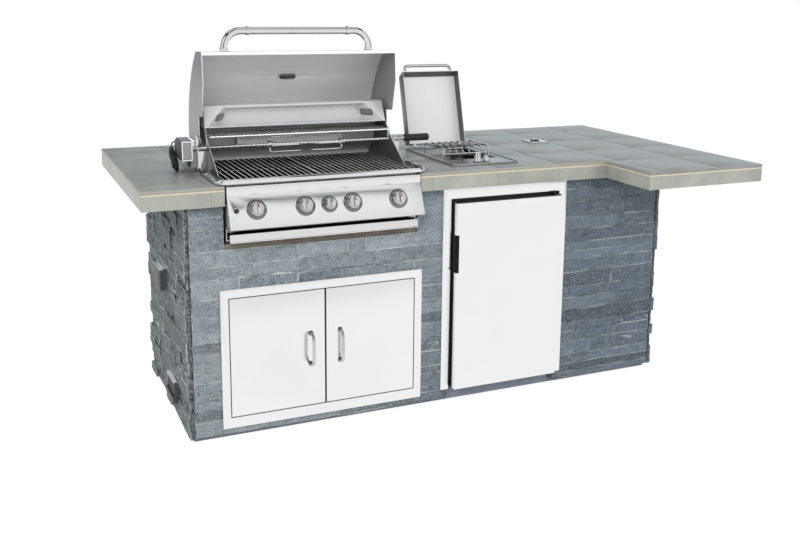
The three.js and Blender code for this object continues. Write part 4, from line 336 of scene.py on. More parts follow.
def leave_edit():
    """Goes back to object mode."""
    bpy.ops.object.mode_set(mode="OBJECT")


def settle(piece, name, material, body, stands_for=(), turn=24):
    """Brings a finished piece's place into its mesh, shades it, and lets it ride."""
    pick(piece)
    piece.name = name
    piece.data.name = name
    bpy.ops.object.transform_apply(location=True, rotation=True, scale=True)
    if material is not None:
        piece.data.materials.clear()
        piece.data.materials.append(material)
    bpy.ops.object.shade_smooth_by_angle(angle=math.radians(turn))
    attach(piece, body)
    if stands_for:
        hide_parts(*stands_for)
    return piece


def stand_in(piece, node, material, turn=24):
    """Settles a piece in the place of a packed one."""
    return settle(piece, node + "_finish", material, homes[node], [node], turn=turn)


def soften(piece, edge, steps=2, angle=50):
    """Bevels the edges that are sharper than an angle."""
    pick(piece)
    bevel = piece.modifiers.new("soft_edges", "BEVEL")
    bevel.limit_method = "ANGLE"
    bevel.angle_limit = math.radians(angle)
    bevel.width = edge
    bevel.segments = steps
    bpy.ops.object.modifier_apply(modifier=bevel.name)


def dress(node, material, edge=0.0, steps=2, turn=24, join_faces=True):
    """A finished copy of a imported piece, with its faces joined and its edges softened."""
    piece = add_object(node + "_finish", nodes[node].data.copy())
    pick(piece)
    if piece.data.has_custom_normals:
        bpy.ops.mesh.customdata_custom_splitnormals_clear()
    edit(every=True)
    bpy.ops.mesh.remove_doubles(threshold=0.00001)
    if join_faces:
        bpy.ops.mesh.dissolve_limited(angle_limit=math.radians(0.4))
    leave_edit()
    if edge:
        soften(piece, edge, steps)
    return stand_in(piece, node, material, turn)


def second_finish(piece, material, chosen):
    """Gives the faces that are chosen another finish."""
    piece.data.materials.append(material)
    for face in piece.data.polygons:
        if chosen(face):
            face.material_index = len(piece.data.materials) - 1


cord_rubber = moulded_material("cord_rubber", (0.016, 0.016, 0.017), 0.42, 700.0)
cord_data = bpy.data.curves.new("motor_cord", "CURVE")
cord_data.dimensions = "3D"
spline = cord_data.splines.new("POLY")
cord_path = [Vector(point) for point in lead_points] + hank_line()
plug_across = hank_fold + hank_pitch * 4 / 24
cord_path.append(hank_place(-hank_end, plug_across, hank_corner[0] - hank_pitch - hank_aside))
spline.points.add(len(cord_path) - 1)
for slot_point, point in zip(spline.points, cord_path):
    slot_point.co = (*point, 1)
cord_data.bevel_depth = cord_radius
cord_data.bevel_resolution = 3
cord_data.use_fill_caps = True
motor_cord = add_object("motor_cord", cord_data)
cord_data.materials.append(cord_rubber)
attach(motor_cord, "island")
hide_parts("cord_lead", "cord_hank")
plug = dress("plug", cord_rubber, 0.0012, 3)
dress("strain_relief", cord_rubber, 0.0005)

# The plinth is a cast concrete slab painted blue-grey, with a threshold under the fridge. Its
# edges are worn round. The welded frame that stands on it is bare galvanised tube.
def new_group(name, inputs, outputs):
    """A shader group with its sockets: a name with a number, or with None for a vector."""
    group = bpy.data.node_groups.new(name, "ShaderNodeTree")
    for sockets, way in ((inputs, "INPUT"), (outputs, "OUTPUT")):
        for title, value in sockets:
            kind = "NodeSocketVector" if value is None else "NodeSocketFloat"
            socket = group.interface.new_socket(title, in_out=way, socket_type=kind)
            if value is not None:
                socket.default_value = value
    return group, add_node(group, "NodeGroupInput").outputs


# Soft blotches and fine grain on Object coordinates, for stone, tile and concrete.
cloudy_surface, given = new_group(
    "cloudy_surface", [("Vector", None), ("Blotch", 5.0), ("Grain", 120.0), ("Mix", 0.5)],
    [("Tone", 0.0), ("Height", 0.0)])
large = noise(cloudy_surface, given["Vector"], given["Blotch"], 6.0, 0.6, 0.4)
small = noise(cloudy_surface, given["Vector"], given["Grain"], 5.0, 0.65)
both = add_node(cloudy_surface, "ShaderNodeMix", {0: given["Mix"], 2: large, 3: small}).outputs[0]
add_node(cloudy_surface, "NodeGroupOutput", {
    "Tone": rescaled(cloudy_surface, both, 0.3, 0.7), "Height": small})


def clouds(tree, blotch, grain, mix):
    """The Object coordinates, and the tone and height of the cloudy surface on them."""
    place = add_node(tree, "ShaderNodeTexCoord").outputs["Object"]
    cloud = add_node(tree, "ShaderNodeGroup", {"Vector": place, "Blotch": blotch, "Grain": grain, "Mix": mix},
                     node_tree=cloudy_surface)
    return place, cloud.outputs["Tone"], cloud.outputs["Height"]


def mineral_material(name, dark, light, roughness, blotch, grain, mix, depth):
    """A mineral surface between two colours, with a grainy bump."""
    material, tree, shader = new_material(name)
    tone, height = clouds(tree, blotch, grain, mix)[1:]
    rough = rescaled(tree, tone, 0.0, 1.0, roughness * 0.85, min(1.0, roughness * 1.12))
    surfaced(tree, shader, ramped(tree, tone, [(0.0, dark), (1.0, light)]), rough, height, 0.5, depth)
    return material


plinth_paint = mineral_material(
    "plinth_paint", (0.16, 0.175, 0.225), (0.23, 0.25, 0.31), 0.7, 6.0, 90.0, 0.5, 0.001)
dress("base_plinth", plinth_paint, 0.003, 3)

# Brushed metal: scratches along one way, with smudges where hands and heat have been.
brushed_grain, given = new_group(
    "brushed_grain", [("Vector", None), ("Along", None), ("Low", 0.2), ("High", 0.35), ("Depth", 0.00002)],
    [("Roughness", 0.0), ("Normal", None), ("Shade", 0.0)])
stretched = add_node(brushed_grain, "ShaderNodeVectorMath", {0: given["Vector"], 1: given["Along"]},
                     operation="MULTIPLY").outputs[0]
scratches = noise(brushed_grain, stretched, 1.0, 4.0, 0.7)
smudges = noise(brushed_grain, given["Vector"], 5.0, 4.0, 0.6)
mixed = add_node(brushed_grain, "ShaderNodeMix", {0: 0.45, 2: scratches, 3: smudges}).outputs[0]
scratched = add_node(brushed_grain, "ShaderNodeBump", {
    "Height": scratches, "Strength": 0.35, "Distance": given["Depth"]}).outputs[0]
add_node(brushed_grain, "NodeGroupOutput", {
    "Roughness": rescaled(brushed_grain, mixed, 0.32, 0.68, given["Low"], given["High"]),
    "Normal": scratched, "Shade": rescaled(brushed_grain, mixed, 0.3, 0.7)})

# How fine the grain is along each axis: drawn out along X, or equal, and finer for small wire.
along_x = (3.0, 420.0, 420.0)
even_grain = (25.0, 25.0, 25.0)
wire_grain = (60.0, 60.0, 60.0)


def steel_material(name, dark, light, low, high, along=along_x, depth=0.00001, metallic=1.0):
    """A metal between two close shades, with its roughness between low and high."""
    material, tree, shader = new_material(name)
    place = add_node(tree, "ShaderNodeTexCoord").outputs["Object"]
    grain = add_node(tree, "ShaderNodeGroup", {
        "Vector": place, "Along": along, "Low": low, "High": high, "Depth": depth}, node_tree=brushed_grain)
    shade = ramped(tree, grain.outputs["Shade"], [(0.0, dark), (1.0, light)])
    tree.links.new(shade, shader.inputs["Base Color"])
    for title in ("Roughness", "Normal"):
        tree.links.new(grain.outputs[title], shader.inputs[title])
    shader.inputs["Metallic"].default_value = metallic
    return material


galvanised = steel_material(
    "galvanised_tube", (0.34, 0.35, 0.36), (0.46, 0.47, 0.48), 0.4, 0.6, (30.0, 30.0, 30.0))
dress("steel_frame", galvanised, 0.002)

# Four walls of cement board are clad with split slate: strips of uneven height, length and depth
# are bonded on it, dark blue-grey to green, and the end walls' stones reach round the corners.
wall_length = 2.047
end_length = 0.755
base_left = -1.081
base_right = 0.966
base_front = -0.319
base_back = 0.436
wall_foot = 0.0193
wall_head = 0.903
board_back = 0.02
stone_reach = 0.025
panel_height = 0.155
panel_length = 0.5
row_height = 0.052
stone_gap = 0.0004
stone_sink = 0.003
stone_waver = 0.0024
mortar_reach = 0.024
chip_width = 0.0020
least_span = 0.002
split_from = 0.04
split_share = 0.16


def slate_material(name, tones, rust_share):
    """Split slate: a tone for each stone, lighter at the left and darker to the right as painted light,
    layered ridges, pale veins, pale mineral flecks that are also painted glints, pale bevelled edges that are
    also a painted highlight, and rusty stains.
    """
    material, tree, shader = new_material(name)
    place, cloud, grit = clouds(tree, 30.0, 170.0, 0.5)
    each = add_node(tree, "ShaderNodeNewGeometry").outputs["Random Per Island"]
    tone = ramped(tree, each, [(i / (len(tones) - 1), colour) for i, colour in enumerate(tones)])
    at = add_node(tree, "ShaderNodeSeparateXYZ", {0: place}).outputs
    # The stones are lighter at the left and darker towards the right: painted light falling across the
    # island.
    light_falloff = blended(tree, rescaled(tree, at["X"], -0.4, 0.6), (1.02, 1.00, 0.97), (0.38, 0.45, 0.50))
    tone = blended(tree, 0.6, tone, light_falloff, "MULTIPLY")
    clouded = blended(tree, cloud, (0.36, 0.38, 0.40), (1.56, 1.56, 1.54))
    tone = blended(tree, 1.0, tone, clouded, "MULTIPLY")
    threads = worked_out(tree, "ADD", noise(tree, place, 26.0, 7.0, 0.62, 1.4), -0.5)
    veins = worked_out(tree, "ABSOLUTE", threads)
    tone = blended(tree, rescaled(tree, veins, 0.0, 0.022, 0.62, 0.0), tone, (0.42, 0.47, 0.51))
    # Pale flecks, partly the slate's own mineral, painted in as glints.
    mica_glints = rescaled(tree, noise(tree, place, 240.0, 3.0, 0.8), 0.56, 0.66, 0.0, 0.95)
    tone = blended(tree, mica_glints, tone, (0.50, 0.55, 0.60))
    stains = noise(tree, place, 7.0, 5.0)
    rust = rescaled(tree, stains, 0.70 - rust_share, 0.80 - rust_share, 0.0, 0.5)
    tone = blended(tree, rust, tone, (0.20, 0.17, 0.12))
    # The bevelled edge faces are made pale in patches: partly split stone, partly a painted highlight along
    # the stones' edges.
    bevel_faces = add_node(tree, "ShaderNodeAttribute", attribute_name="lit_chipped_edge").outputs["Fac"]
    edge_paling = worked_out(tree, "MULTIPLY", bevel_faces, rescaled(tree, stains, 0.38, 0.50, 0.30, 1.0))
    tone = blended(tree, edge_paling, tone, (0.52, 0.56, 0.57))
    tone = blended(tree, 0.5, tone, light_falloff, "MULTIPLY")
    layers = add_node(tree, "ShaderNodeMapping", {"Vector": place, "Scale": (16.0, 16.0, 85.0)}).outputs[0]
    ridges = worked_out(tree, "ADD", noise(tree, layers, 1.0, 6.0, 0.7, 0.8), grit)
    surfaced(tree, shader, tone, rescaled(tree, cloud, 0.0, 1.0, 0.45, 0.7), ridges, 0.9, 0.008)
    return material


blue_slate = slate_material("blue_slate", [
    (0.085, 0.105, 0.125), (0.205, 0.240, 0.270), (0.135, 0.165, 0.190), (0.265, 0.300, 0.330),
    (0.160, 0.192, 0.220), (0.235, 0.270, 0.298), (0.110, 0.135, 0.158)], 0.0)
# The left wall's green slate is much darker than the blue: painted shade on that wall, over its greener tone.
shaded_green_slate = slate_material("shaded_green_slate", [
    (0.022, 0.032, 0.036), (0.074, 0.090, 0.095), (0.040, 0.052, 0.054), (0.105, 0.125, 0.130),
    (0.048, 0.060, 0.052), (0.085, 0.104, 0.110), (0.030, 0.042, 0.050)], 0.05)


def uneven_parts(start, end, nominal, vary, rng):
    """Cuts a stretch into parts that vary about an even share."""
    count = max(1, round((end - start) / nominal))
    edges = [start + (end - start) * (i + (vary * rng.uniform(-1, 1) if 0 < i < count else 0)) / count
             for i in range(count + 1)]
    return list(zip(edges, edges[1:]))


def free_spans(start, end, cuts):
    """The stretches between start and end that no cut covers."""
    spans = [(start, end)]
    for low, high in cuts:
        spans = [piece for a, b in spans for piece in ((a, min(b, low)), (max(a, high), b))
                 if piece[1] - piece[0] > least_span]
    return spans


def add_block(x0, x1, y0, y1, z0, z1):
    """A block between two corners."""
    bpy.ops.mesh.primitive_cube_add(
        size=1, location=((x0 + x1) / 2, (y0 + y1) / 2, (z0 + z1) / 2), scale=(x1 - x0, y1 - y0, z1 - z0))


def new_block(*sides):
    """A block as a piece of its own, with its place in its mesh."""
    pick_nothing()
    add_block(*sides)
    bpy.ops.object.transform_apply(location=True, scale=True)
    return bpy.context.object


def clad_wall(node, length, inset, reach, relief, lengths, openings, seed, turn, corner, stone):
    """A board with rows of bonded strips on its -Y side, cut round its openings, then moved to its side."""
    rng = random.Random(seed)
    levels = [z for cut in openings for z in cut[2:] if wall_foot < z < wall_head]
    zones = sorted({wall_foot, wall_head, *levels})
    wall = new_block(inset, length - inset, 0, board_back, wall_foot, wall_head)
    edit(every=True)
    bpy.ops.mesh.delete(type="VERT")
    for low, high in zip(zones, zones[1:]):
        middle = (low + high) / 2
        cuts = [(cut[0], cut[1]) for cut in openings if cut[2] < middle < cut[3]]
        for a, b in free_spans(-reach, length + reach, cuts):
            panels = [(c0, c1, p0, p1) for p0, p1 in uneven_parts(low, high, panel_height, 0.1, rng)
                      for c0, c1 in uneven_parts(a, b, panel_length, 0.35, rng)]
            for c0, c1, p0, p1 in panels:
                for z0, z1 in uneven_parts(p0, p1, row_height, 0.30, rng):
                    for x0, x1 in uneven_parts(c0, c1, rng.choice(lengths), 0.35, rng):
                        cut_level = z0 + (z1 - z0) * rng.uniform(0.38, 0.62)
                        split = z1 - z0 > split_from and rng.random() < split_share
                        for foot, head in ((z0, cut_level), (cut_level, z1)) if split else ((z0, z1),):
                            proud = stone_reach - relief * rng.random() ** 1.2
                            add_block(x0 + stone_gap * (x0 > a), x1 - stone_gap * (x1 < b),
                                      -proud, -stone_sink, foot, head - stone_gap * 2)
    bpy.ops.mesh.select_all(action="SELECT")
    bpy.ops.mesh.bevel(offset=chip_width, segments=1, affect="EDGES", clamp_overlap=True)
    leave_edit()
    # The slanted edge faces are marked for a pale tone that is partly a painted highlight along the stones'
    # edges.
    lit_chipped_edge = wall.data.attributes.new("lit_chipped_edge", "FLOAT", "FACE")
    for face in wall.data.polygons:
        face.select = face.normal.y < -0.99 and face.area > 0.0004
        slanted = max(abs(c) for c in face.normal) < 0.9 and face.normal.y < 0
        lit_chipped_edge.data[face.index].value = 1.0 if slanted else 0.0
    edit("FACE")
    bpy.ops.mesh.subdivide(number_cuts=5)
    bpy.ops.mesh.select_less()
    bpy.ops.transform.vertex_random(offset=stone_waver, uniform=0.35, normal=0.0, seed=seed)
    leave_edit()
    stone_faces = len(wall.data.polygons)
    edit()
    for low, high in zip(zones, zones[1:]):
        cuts = [(cut[0], cut[1]) for cut in openings if cut[2] < (low + high) / 2 < cut[3]]
        for a, b in free_spans(inset, length - inset, cuts):
            add_block(a, b, relief - mortar_reach, board_back, low, high)
    leave_edit()
    wall.data.transform(Matrix.Translation(corner) @ Matrix.Rotation(turn, 4, "Z"))
    settle(wall, node + "_cladding", stone, "island", [node], turn=24)
    wall.data.materials.append(joint_mortar)
    for face in wall.data.polygons:
        face.material_index = 0 if face.index < stone_faces else 1


door_opening = (0.1323, 0.8867, 0.0807, 0.5523)
grill_opening = (0.1255, 0.8935, 0.734, 0.95)
fridge_opening = (1.0387, 1.5463, 0.0, 0.8593)
outlet_opening = (0.3247, 0.4493, 0.5077, 0.5973)
vent_opening = (0.4367, 0.5773, 0.1037, 0.1763)
joint_mortar = mineral_material(
    "joint_mortar", (0.16, 0.17, 0.17), (0.34, 0.35, 0.34), 0.85, 20.0, 200.0, 0.5, 0.0006)
long_stones = (0.15, 0.23, 0.46)
clad_wall("stone_front", wall_length, 0.0003, -0.0003, 0.004, long_stones,
          [door_opening, grill_opening, fridge_opening], 5, 0, (base_left, base_front, 0), blue_slate)
clad_wall("stone_back", wall_length, 0.0003, -0.0003, 0.004, long_stones, [], 6, math.pi,
          (base_right, base_back, 0), blue_slate)
clad_wall("stone_left", end_length, 0.0203, stone_reach, 0.014, (0.09, 0.13, 0.20),
          [outlet_opening, vent_opening], 7, -math.pi / 2, (base_left, base_back, 0), shaded_green_slate)
clad_wall("stone_right", end_length, 0.0203, stone_reach, 0.014, (0.12, 0.18, 0.26), [], 8, math.pi / 2,
          (base_right, base_front, 0), blue_slate)

# The left wall has a weatherproof outlet box with a hinged cover, and low down a slotted vent with a sloping
# sill, both of grey moulded plastic. Each is painted near black below a pale grey top: painted shade below
# and painted light along the top.
gray_plastic = moulded_material("gray_plastic", (0.42, 0.43, 0.44), 0.5)
shaded_grey_plastic = moulded_material("shaded_grey_plastic", (0.050, 0.055, 0.060), 0.5)
for node, lit_from in (("outlet_box", 0.589), ("outlet_cover", 0.586), ("side_vent", 0.160)):
    # Painted light: near black below as painted shade, pale grey along the top as a painted highlight.
    cover = dress(node, shaded_grey_plastic, 0.0025, 3)
    second_finish(cover, gray_plastic, lambda face: face.center.z > lit_from)

# A cast sill closes the foot of the grill's opening in the wall. It is rough brown cement, as wide
# as the opening.
# The sill's brown is made darker: painted shade under the grill.
shaded_sill_cement = mineral_material(
    "shaded_sill_cement", (0.07, 0.06, 0.045), (0.20, 0.175, 0.14), 0.85, 12.0, 140.0, 0.5, 0.001)
dress("opening_sill", shaded_sill_cement, 0.002)

# The counter is laid with square slate-look porcelain tiles in pale grout. The same tile faces the
# skirt, under a thin tan trim that covers the cut edge.
tile_pitch = 0.2886
first_joint = (-1.0035, -0.377)


def tile_material(name, tones, grout, joint_half, trim_from, shift=0.0):
    """Matt porcelain: a tone to each tile, cloudy veins, thin joints, and a tan trim above a height."""
    material, tree, shader = new_material(name)
    place, cloud = clouds(tree, 9.0, 320.0, 0.25)[:2]
    at = add_node(tree, "ShaderNodeSeparateXYZ", {0: place}).outputs
    counts = []
    joints = []
    for axis in (0, 1):
        moved = worked_out(tree, "ADD", at[axis], shift * axis - first_joint[axis])
        counts.append(worked_out(tree, "FLOOR", worked_out(tree, "DIVIDE", moved, tile_pitch)))
        wrapped = worked_out(
            tree, "FLOORED_MODULO", worked_out(tree, "ADD", moved, tile_pitch / 2), tile_pitch)
        joints.append(worked_out(tree, "ABSOLUTE", worked_out(tree, "ADD", wrapped, -tile_pitch / 2)))
    number = add_node(tree, "ShaderNodeCombineXYZ", {0: counts[0], 1: counts[1]}).outputs[0]
    each = add_node(tree, "ShaderNodeTexWhiteNoise", {"Vector": number}, noise_dimensions="3D")
    tone = ramped(tree, each.outputs["Value"], [(0.0, tones[0]), (1.0, tones[1])])
    veil = blended(tree, cloud, (0.76, 0.78, 0.78), (1.24, 1.22, 1.18))
    tone = blended(tree, 1.0, tone, veil, "MULTIPLY")
    line = worked_out(tree, "LESS_THAN", worked_out(tree, "MINIMUM", *joints), joint_half)
    tone = blended(tree, line, tone, grout)
    trim = worked_out(tree, "GREATER_THAN", at[2], trim_from)
    tone = blended(tree, trim, tone, (0.56, 0.47, 0.33))
    surfaced(tree, shader, tone, rescaled(tree, cloud, 0.0, 1.0, 0.28, 0.40), cloud, 0.2, 0.0006)
    return material


no_trim = 2.0
skirt_trim = 0.9567
counter_tile = tile_material(
    "counter_tile", [(0.180, 0.190, 0.186), (0.198, 0.207, 0.202)], (0.25, 0.245, 0.215), 0.0010, no_trim)
# The skirt's tile is made lighter than the counter's: painted light falling on the skirt.
lit_skirt_tile = tile_material(
    "lit_skirt_tile", [(0.250, 0.255, 0.232), (0.292, 0.296, 0.270)], (0.17, 0.17, 0.155), 0.0012, skirt_trim,
    tile_pitch / 2)
dress("counter_top", counter_tile, 0.0009)
dress("counter_skirt", lit_skirt_tile, join_faces=False)

# A polished plate with a collar guards the umbrella hole in the bar. Its sleeve goes down
# through the tiles and the deck.
chrome = steel_material(
    "polished_chrome", (0.70, 0.705, 0.71), (0.78, 0.785, 0.79), 0.05, 0.10, even_grain, 0.000004)
dress("umbrella_plate", chrome, 0.0008)

# The grill head: a folded stainless firebox between shaped sides, with ledges for the grates, a
# stepped back, a bent tube round its rim and a lamp box with two sunk lamps.
inner_steel = steel_material(
    "inner_steel", (0.55, 0.55, 0.545), (0.66, 0.66, 0.65), 0.28, 0.40, depth=0.000003, metallic=0.75)
shaded_side_steel = steel_material(
    "shaded_side_steel", (0.13, 0.131, 0.133), (0.19, 0.191, 0.193), 0.26, 0.36, metallic=0.75)
baffle_steel = steel_material(
    "baffle_steel", (0.60, 0.605, 0.61), (0.66, 0.665, 0.67), 0.36, 0.44, depth=0.000002, metallic=0.5)
dress("rear_baffle", baffle_steel, 0.0006)
firebox = dress("firebox", inner_steel, 0.0006)
# The firebox's side walls are darker steel: painted shade inside the firebox.
second_finish(firebox, shaded_side_steel, lambda face: abs(face.normal.x) > 0.9)
dress("head_rim", chrome, 0.0008)
glass_lens = moulded_material("lamp_glass", (0.16, 0.165, 0.17), 0.12, 300.0)
for node in ("lamp_left", "lamp_right"):
    dress(node, glass_lens, 0.0005)

# The control panel: a sheet folded to a lip, a leaning face and a foot, brushed along its length.
# A round pressed bezel sits at each knob, and a black igniter button at the left end.
panel_steel = steel_material(
    "panel_steel", (0.80, 0.805, 0.81), (0.84, 0.845, 0.85), 0.20, 0.26, depth=0.000002)
dress("control_panel", panel_steel, 0.0007)
dark_chrome = steel_material("dark_chrome", (0.16, 0.16, 0.165), (0.30, 0.30, 0.31), 0.08, 0.16, even_grain)
black_plastic = moulded_material("black_plastic", (0.014, 0.014, 0.015), 0.30)
dress("igniter_button", black_plastic, 0.0004)
panel_tilt = math.atan2(0.117, 0.049)
panel_top = (0.060, 0.034)
knob_down = 0.0575
knob_places = [(-0.276, 1.0), (-0.093, 1.0), (0.0, 0.84), (0.092, 1.0), (0.277, 1.0)]


def turned_piece(profile, sides=48):
    """A ring drawn up a profile of radius and height, with its ends closed."""
    pick_nothing()
    radius, height = profile[0]
    bpy.ops.mesh.primitive_circle_add(vertices=sides, radius=radius, location=(0, 0, height))
    piece = bpy.context.object
    bpy.ops.object.transform_apply(location=True)
    edit("VERT", every=True)
    for (before, foot), (radius, height) in zip(profile, profile[1:]):
        bpy.ops.mesh.extrude_region_move(TRANSFORM_OT_translate={"value": (0, 0, height - foot)})
        share = radius / before
        bpy.ops.transform.resize(value=(share, share, 1), center_override=(0, 0, height))
    bpy.ops.mesh.select_all(action="SELECT")
    bpy.ops.mesh.remove_doubles(threshold=0.000001)
    bpy.ops.mesh.fill_holes(sides=0)
    bpy.ops.mesh.select_all(action="SELECT")
    bpy.ops.mesh.normals_make_consistent(inside=False)
    bpy.ops.mesh.select_mode(type="FACE")
    leave_edit()
    return piece


def copy_piece(piece, matrix):
    """A copy with its own mesh, moved by a matrix."""
    twin = piece.copy()
    twin.data = piece.data.copy()
    scene.collection.objects.link(twin)
    twin.data.transform(matrix)
    return twin


def weld(parts):
    """Joins parts into the first of them."""
    pick(parts[0])
    for part in parts[1:]:
        part.select_set(True)
    bpy.ops.object.join()
    return parts[0]


def panel_place(across, share):
    """Where a knob stands on the panel's leaning face, and its share of the full width."""
    y = grill_centre.y - panel_top[0] - knob_down * math.cos(panel_tilt)
    z = grill_centre.z - panel_top[1] - knob_down * math.sin(panel_tilt)
    turned = Matrix.Rotation(panel_tilt, 4, "X") @ Matrix.Diagonal((share, share, 1, 1))
    return Matrix.Translation((grill_centre.x + across, y, z)) @ turned


bezel = turned_piece([
    (0.0376, 0.0002), (0.0376, 0.0014), (0.0370, 0.0024), (0.0330, 0.0060), (0.0320, 0.0068),
    (0.0306, 0.0068), (0.0296, 0.0063), (0.0060, 0.0063), (0.0060, 0.0002), (0.0376, 0.0002)], 64)
# The bezels are dark chrome, darker than the knobs: painted shade for the dark ring round each knob.
for i, (across, share) in enumerate(knob_places, 1):
    settle(copy_piece(bezel, panel_place(across, share)), "knob_bezel_%d" % i, dark_chrome, "island")
bpy.data.objects.remove(bezel)

# Burner knobs: turned and chromed, with a skirt, a finger blade across the face and a red enamel
# pointer. They have no bore, so the valve stems run through their backs, out of sight.
knob_chrome = steel_material(
    "knob_chrome", (0.52, 0.52, 0.525), (0.64, 0.64, 0.645), 0.06, 0.12, even_grain, 0.000004)
pointer_red = moulded_material("pointer_red", (0.22, 0.006, 0.014), 0.25, 500.0, 0.05)
knob = turned_piece([
    (0.0258, 0.0070), (0.0258, 0.0128), (0.0252, 0.0140), (0.0236, 0.0146), (0.0226, 0.0160),
    (0.0217, 0.0256), (0.0212, 0.0265), (0.0202, 0.0270), (0.0150, 0.0270)])
pick_nothing()
blade_size = Vector((0.0086, 0.0420, 0.0115))
blade_top = 0.037
bpy.ops.mesh.primitive_cube_add(size=1, location=(0, 0, blade_top - blade_size.z / 2), scale=blade_size)
blade = bpy.context.object
bpy.ops.object.transform_apply(location=True, scale=True)
for face in blade.data.polygons:
    face.select = face.normal.z > 0.9
edit()
bpy.ops.transform.resize(value=(0.86, 0.88, 1), center_override=(0, 0, blade_top))
bpy.ops.mesh.select_all(action="SELECT")
bpy.ops.mesh.bevel(offset=0.0013, segments=3, affect="EDGES")
leave_edit()
pointer_depth = 0.0005
pointer_out = 0.006
pick_nothing()
bpy.ops.mesh.primitive_cylinder_add(
    vertices=3, radius=0.0042, depth=pointer_depth, location=(0, 0, blade_top + 0.0001 - pointer_depth / 2))
pointer = bpy.context.object
bpy.ops.object.transform_apply(location=True)
pointer.data.transform(Matrix.Translation((0, pointer_out, 0)) @ Matrix.Diagonal((1, 2.2, 1, 1)))
soften(pointer, 0.0001, 1)
for part, finish in ((knob, knob_chrome), (blade, chrome), (pointer, pointer_red)):
    part.data.materials.append(finish)
weld([knob, blade, pointer])
for i, (across, share) in enumerate(knob_places, 1):
    stand_in(copy_piece(knob, panel_place(across, share)), "knob_%d" % i, None)
bpy.data.objects.remove(knob)

# Under the grates: four stainless burner tubes from a manifold, and a ridged flame tamer, all browned by heat
# and made darker still, painted shade under the grates.
browned_and_shaded_steel = steel_material("browned_and_shaded_steel", (0.07, 0.066, 0.06), (0.15, 0.142, 0.13), 0.4, 0.6)
dress("burner_assembly", browned_and_shaded_steel)
dress("flame_tamer", browned_and_shaded_steel, 0.0005, 1)

# Two welded stainless grates lie side by side on the ledges, their bars from front to back. The
# drip tray under them slides out to the front.
grate_steel = steel_material(
    "grate_steel", (0.70, 0.70, 0.69), (0.84, 0.84, 0.83), 0.3, 0.42, wire_grain, metallic=0.5)
painted_shade_steel = steel_material(
    "painted_shade_steel", (0.05, 0.049, 0.047), (0.12, 0.118, 0.112), 0.4, 0.55, wire_grain)
# The bars' flanks and undersides are dark: painted shade beside their lit tops.
for node in ("grate_left", "grate_right"):
    grate = dress(node, grate_steel, 0.0012)
    second_finish(grate, painted_shade_steel, lambda face: face.normal.z < 0.4)
dress("drip_tray", panel_steel, 0.0006)
dress("back_burner", baffle_steel, 0.0006)

# The warming rack: thin bright rods welded across a frame of heavier wire, which lies on pins in the side
# walls. Their flanks and undersides are painted darker, as painted shade.
rod_steel = steel_material(
    "rod_steel", 0.80, 0.90, 0.2, 0.3, wire_grain, metallic=0.15)
rack_half = 0.365
rack_level = grill_centre.z + 0.137
rack_front = grill_centre.y + 0.228
rack_back = grill_centre.y + 0.392
rack_rods = 48
frame_radius = 0.003
rod_radius = 0.0026
rod_overlap = 0.001


def bent_tube(corners, radius, bend, sides=24, steps=10):
    """A round tube drawn along straight legs and spun round the bends between them."""
    corners = [Vector(corner) for corner in corners]
    ahead = (corners[1] - corners[0]).normalized()
    pick_nothing()
    bpy.ops.mesh.primitive_circle_add(
        vertices=sides, radius=radius, location=corners[0], rotation=ahead.to_track_quat("Z", "Y").to_euler())
    tube = bpy.context.object
    bpy.ops.object.transform_apply(location=True, rotation=True)
    edit("VERT", every=True)
    here = corners[0]
    for corner, after in zip(corners[1:], corners[2:] + [None]):
        ahead = (corner - here).normalized()
        onward = (after - corner).normalized() if after else ahead
        turn = ahead.angle(onward)
        cut = bend * math.tan(turn / 2)
        there = corner - ahead * cut
        bpy.ops.mesh.extrude_region_move(TRANSFORM_OT_translate={"value": there - here})
        if turn > 0.001:
            axis = ahead.cross(onward).normalized()
            centre = there + axis.cross(ahead) * bend
            bpy.ops.mesh.spin(steps=steps, angle=turn, center=centre, axis=-axis)
        here = corner + onward * cut
    bpy.ops.mesh.select_all(action="SELECT")
    bpy.ops.mesh.fill_holes(sides=0)
    bpy.ops.mesh.select_all(action="SELECT")
    bpy.ops.mesh.normals_make_consistent(inside=False)
    bpy.ops.mesh.select_mode(type="FACE")
    leave_edit()
    return tube


rack_left = grill_centre.x - rack_half
rail = bent_tube([(rack_left, rack_front, rack_level), (rack_left + 2 * rack_half, rack_front, rack_level)],
                 frame_radius, 0.01, 12)
side_wire = bent_tube([(rack_left, rack_front, rack_level), (rack_left, rack_back, rack_level)],
                      frame_radius, 0.01, 12)
rails = [rail, copy_piece(rail, Matrix.Translation((0, rack_back - rack_front, 0))),
         side_wire, copy_piece(side_wire, Matrix.Translation((2 * rack_half, 0, 0)))]
rod = bent_tube([(0, rack_front - rod_overlap, rack_level), (0, rack_back + rod_overlap, rack_level)],
                rod_radius, 0.01, 8)
for i in range(1, rack_rods + 1):
    across = rack_left + 2 * rack_half * i / (rack_rods + 1)
    rails.append(copy_piece(rod, Matrix.Translation((across, 0, 0))))
bpy.data.objects.remove(rod)
rack = stand_in(weld(rails), "warming_rack", rod_steel, 50)
# Dark flanks and undersides on the rods: painted shade.
second_finish(rack, painted_shade_steel, lambda face: abs(face.normal.x) > 0.6 or face.normal.z < -0.5)

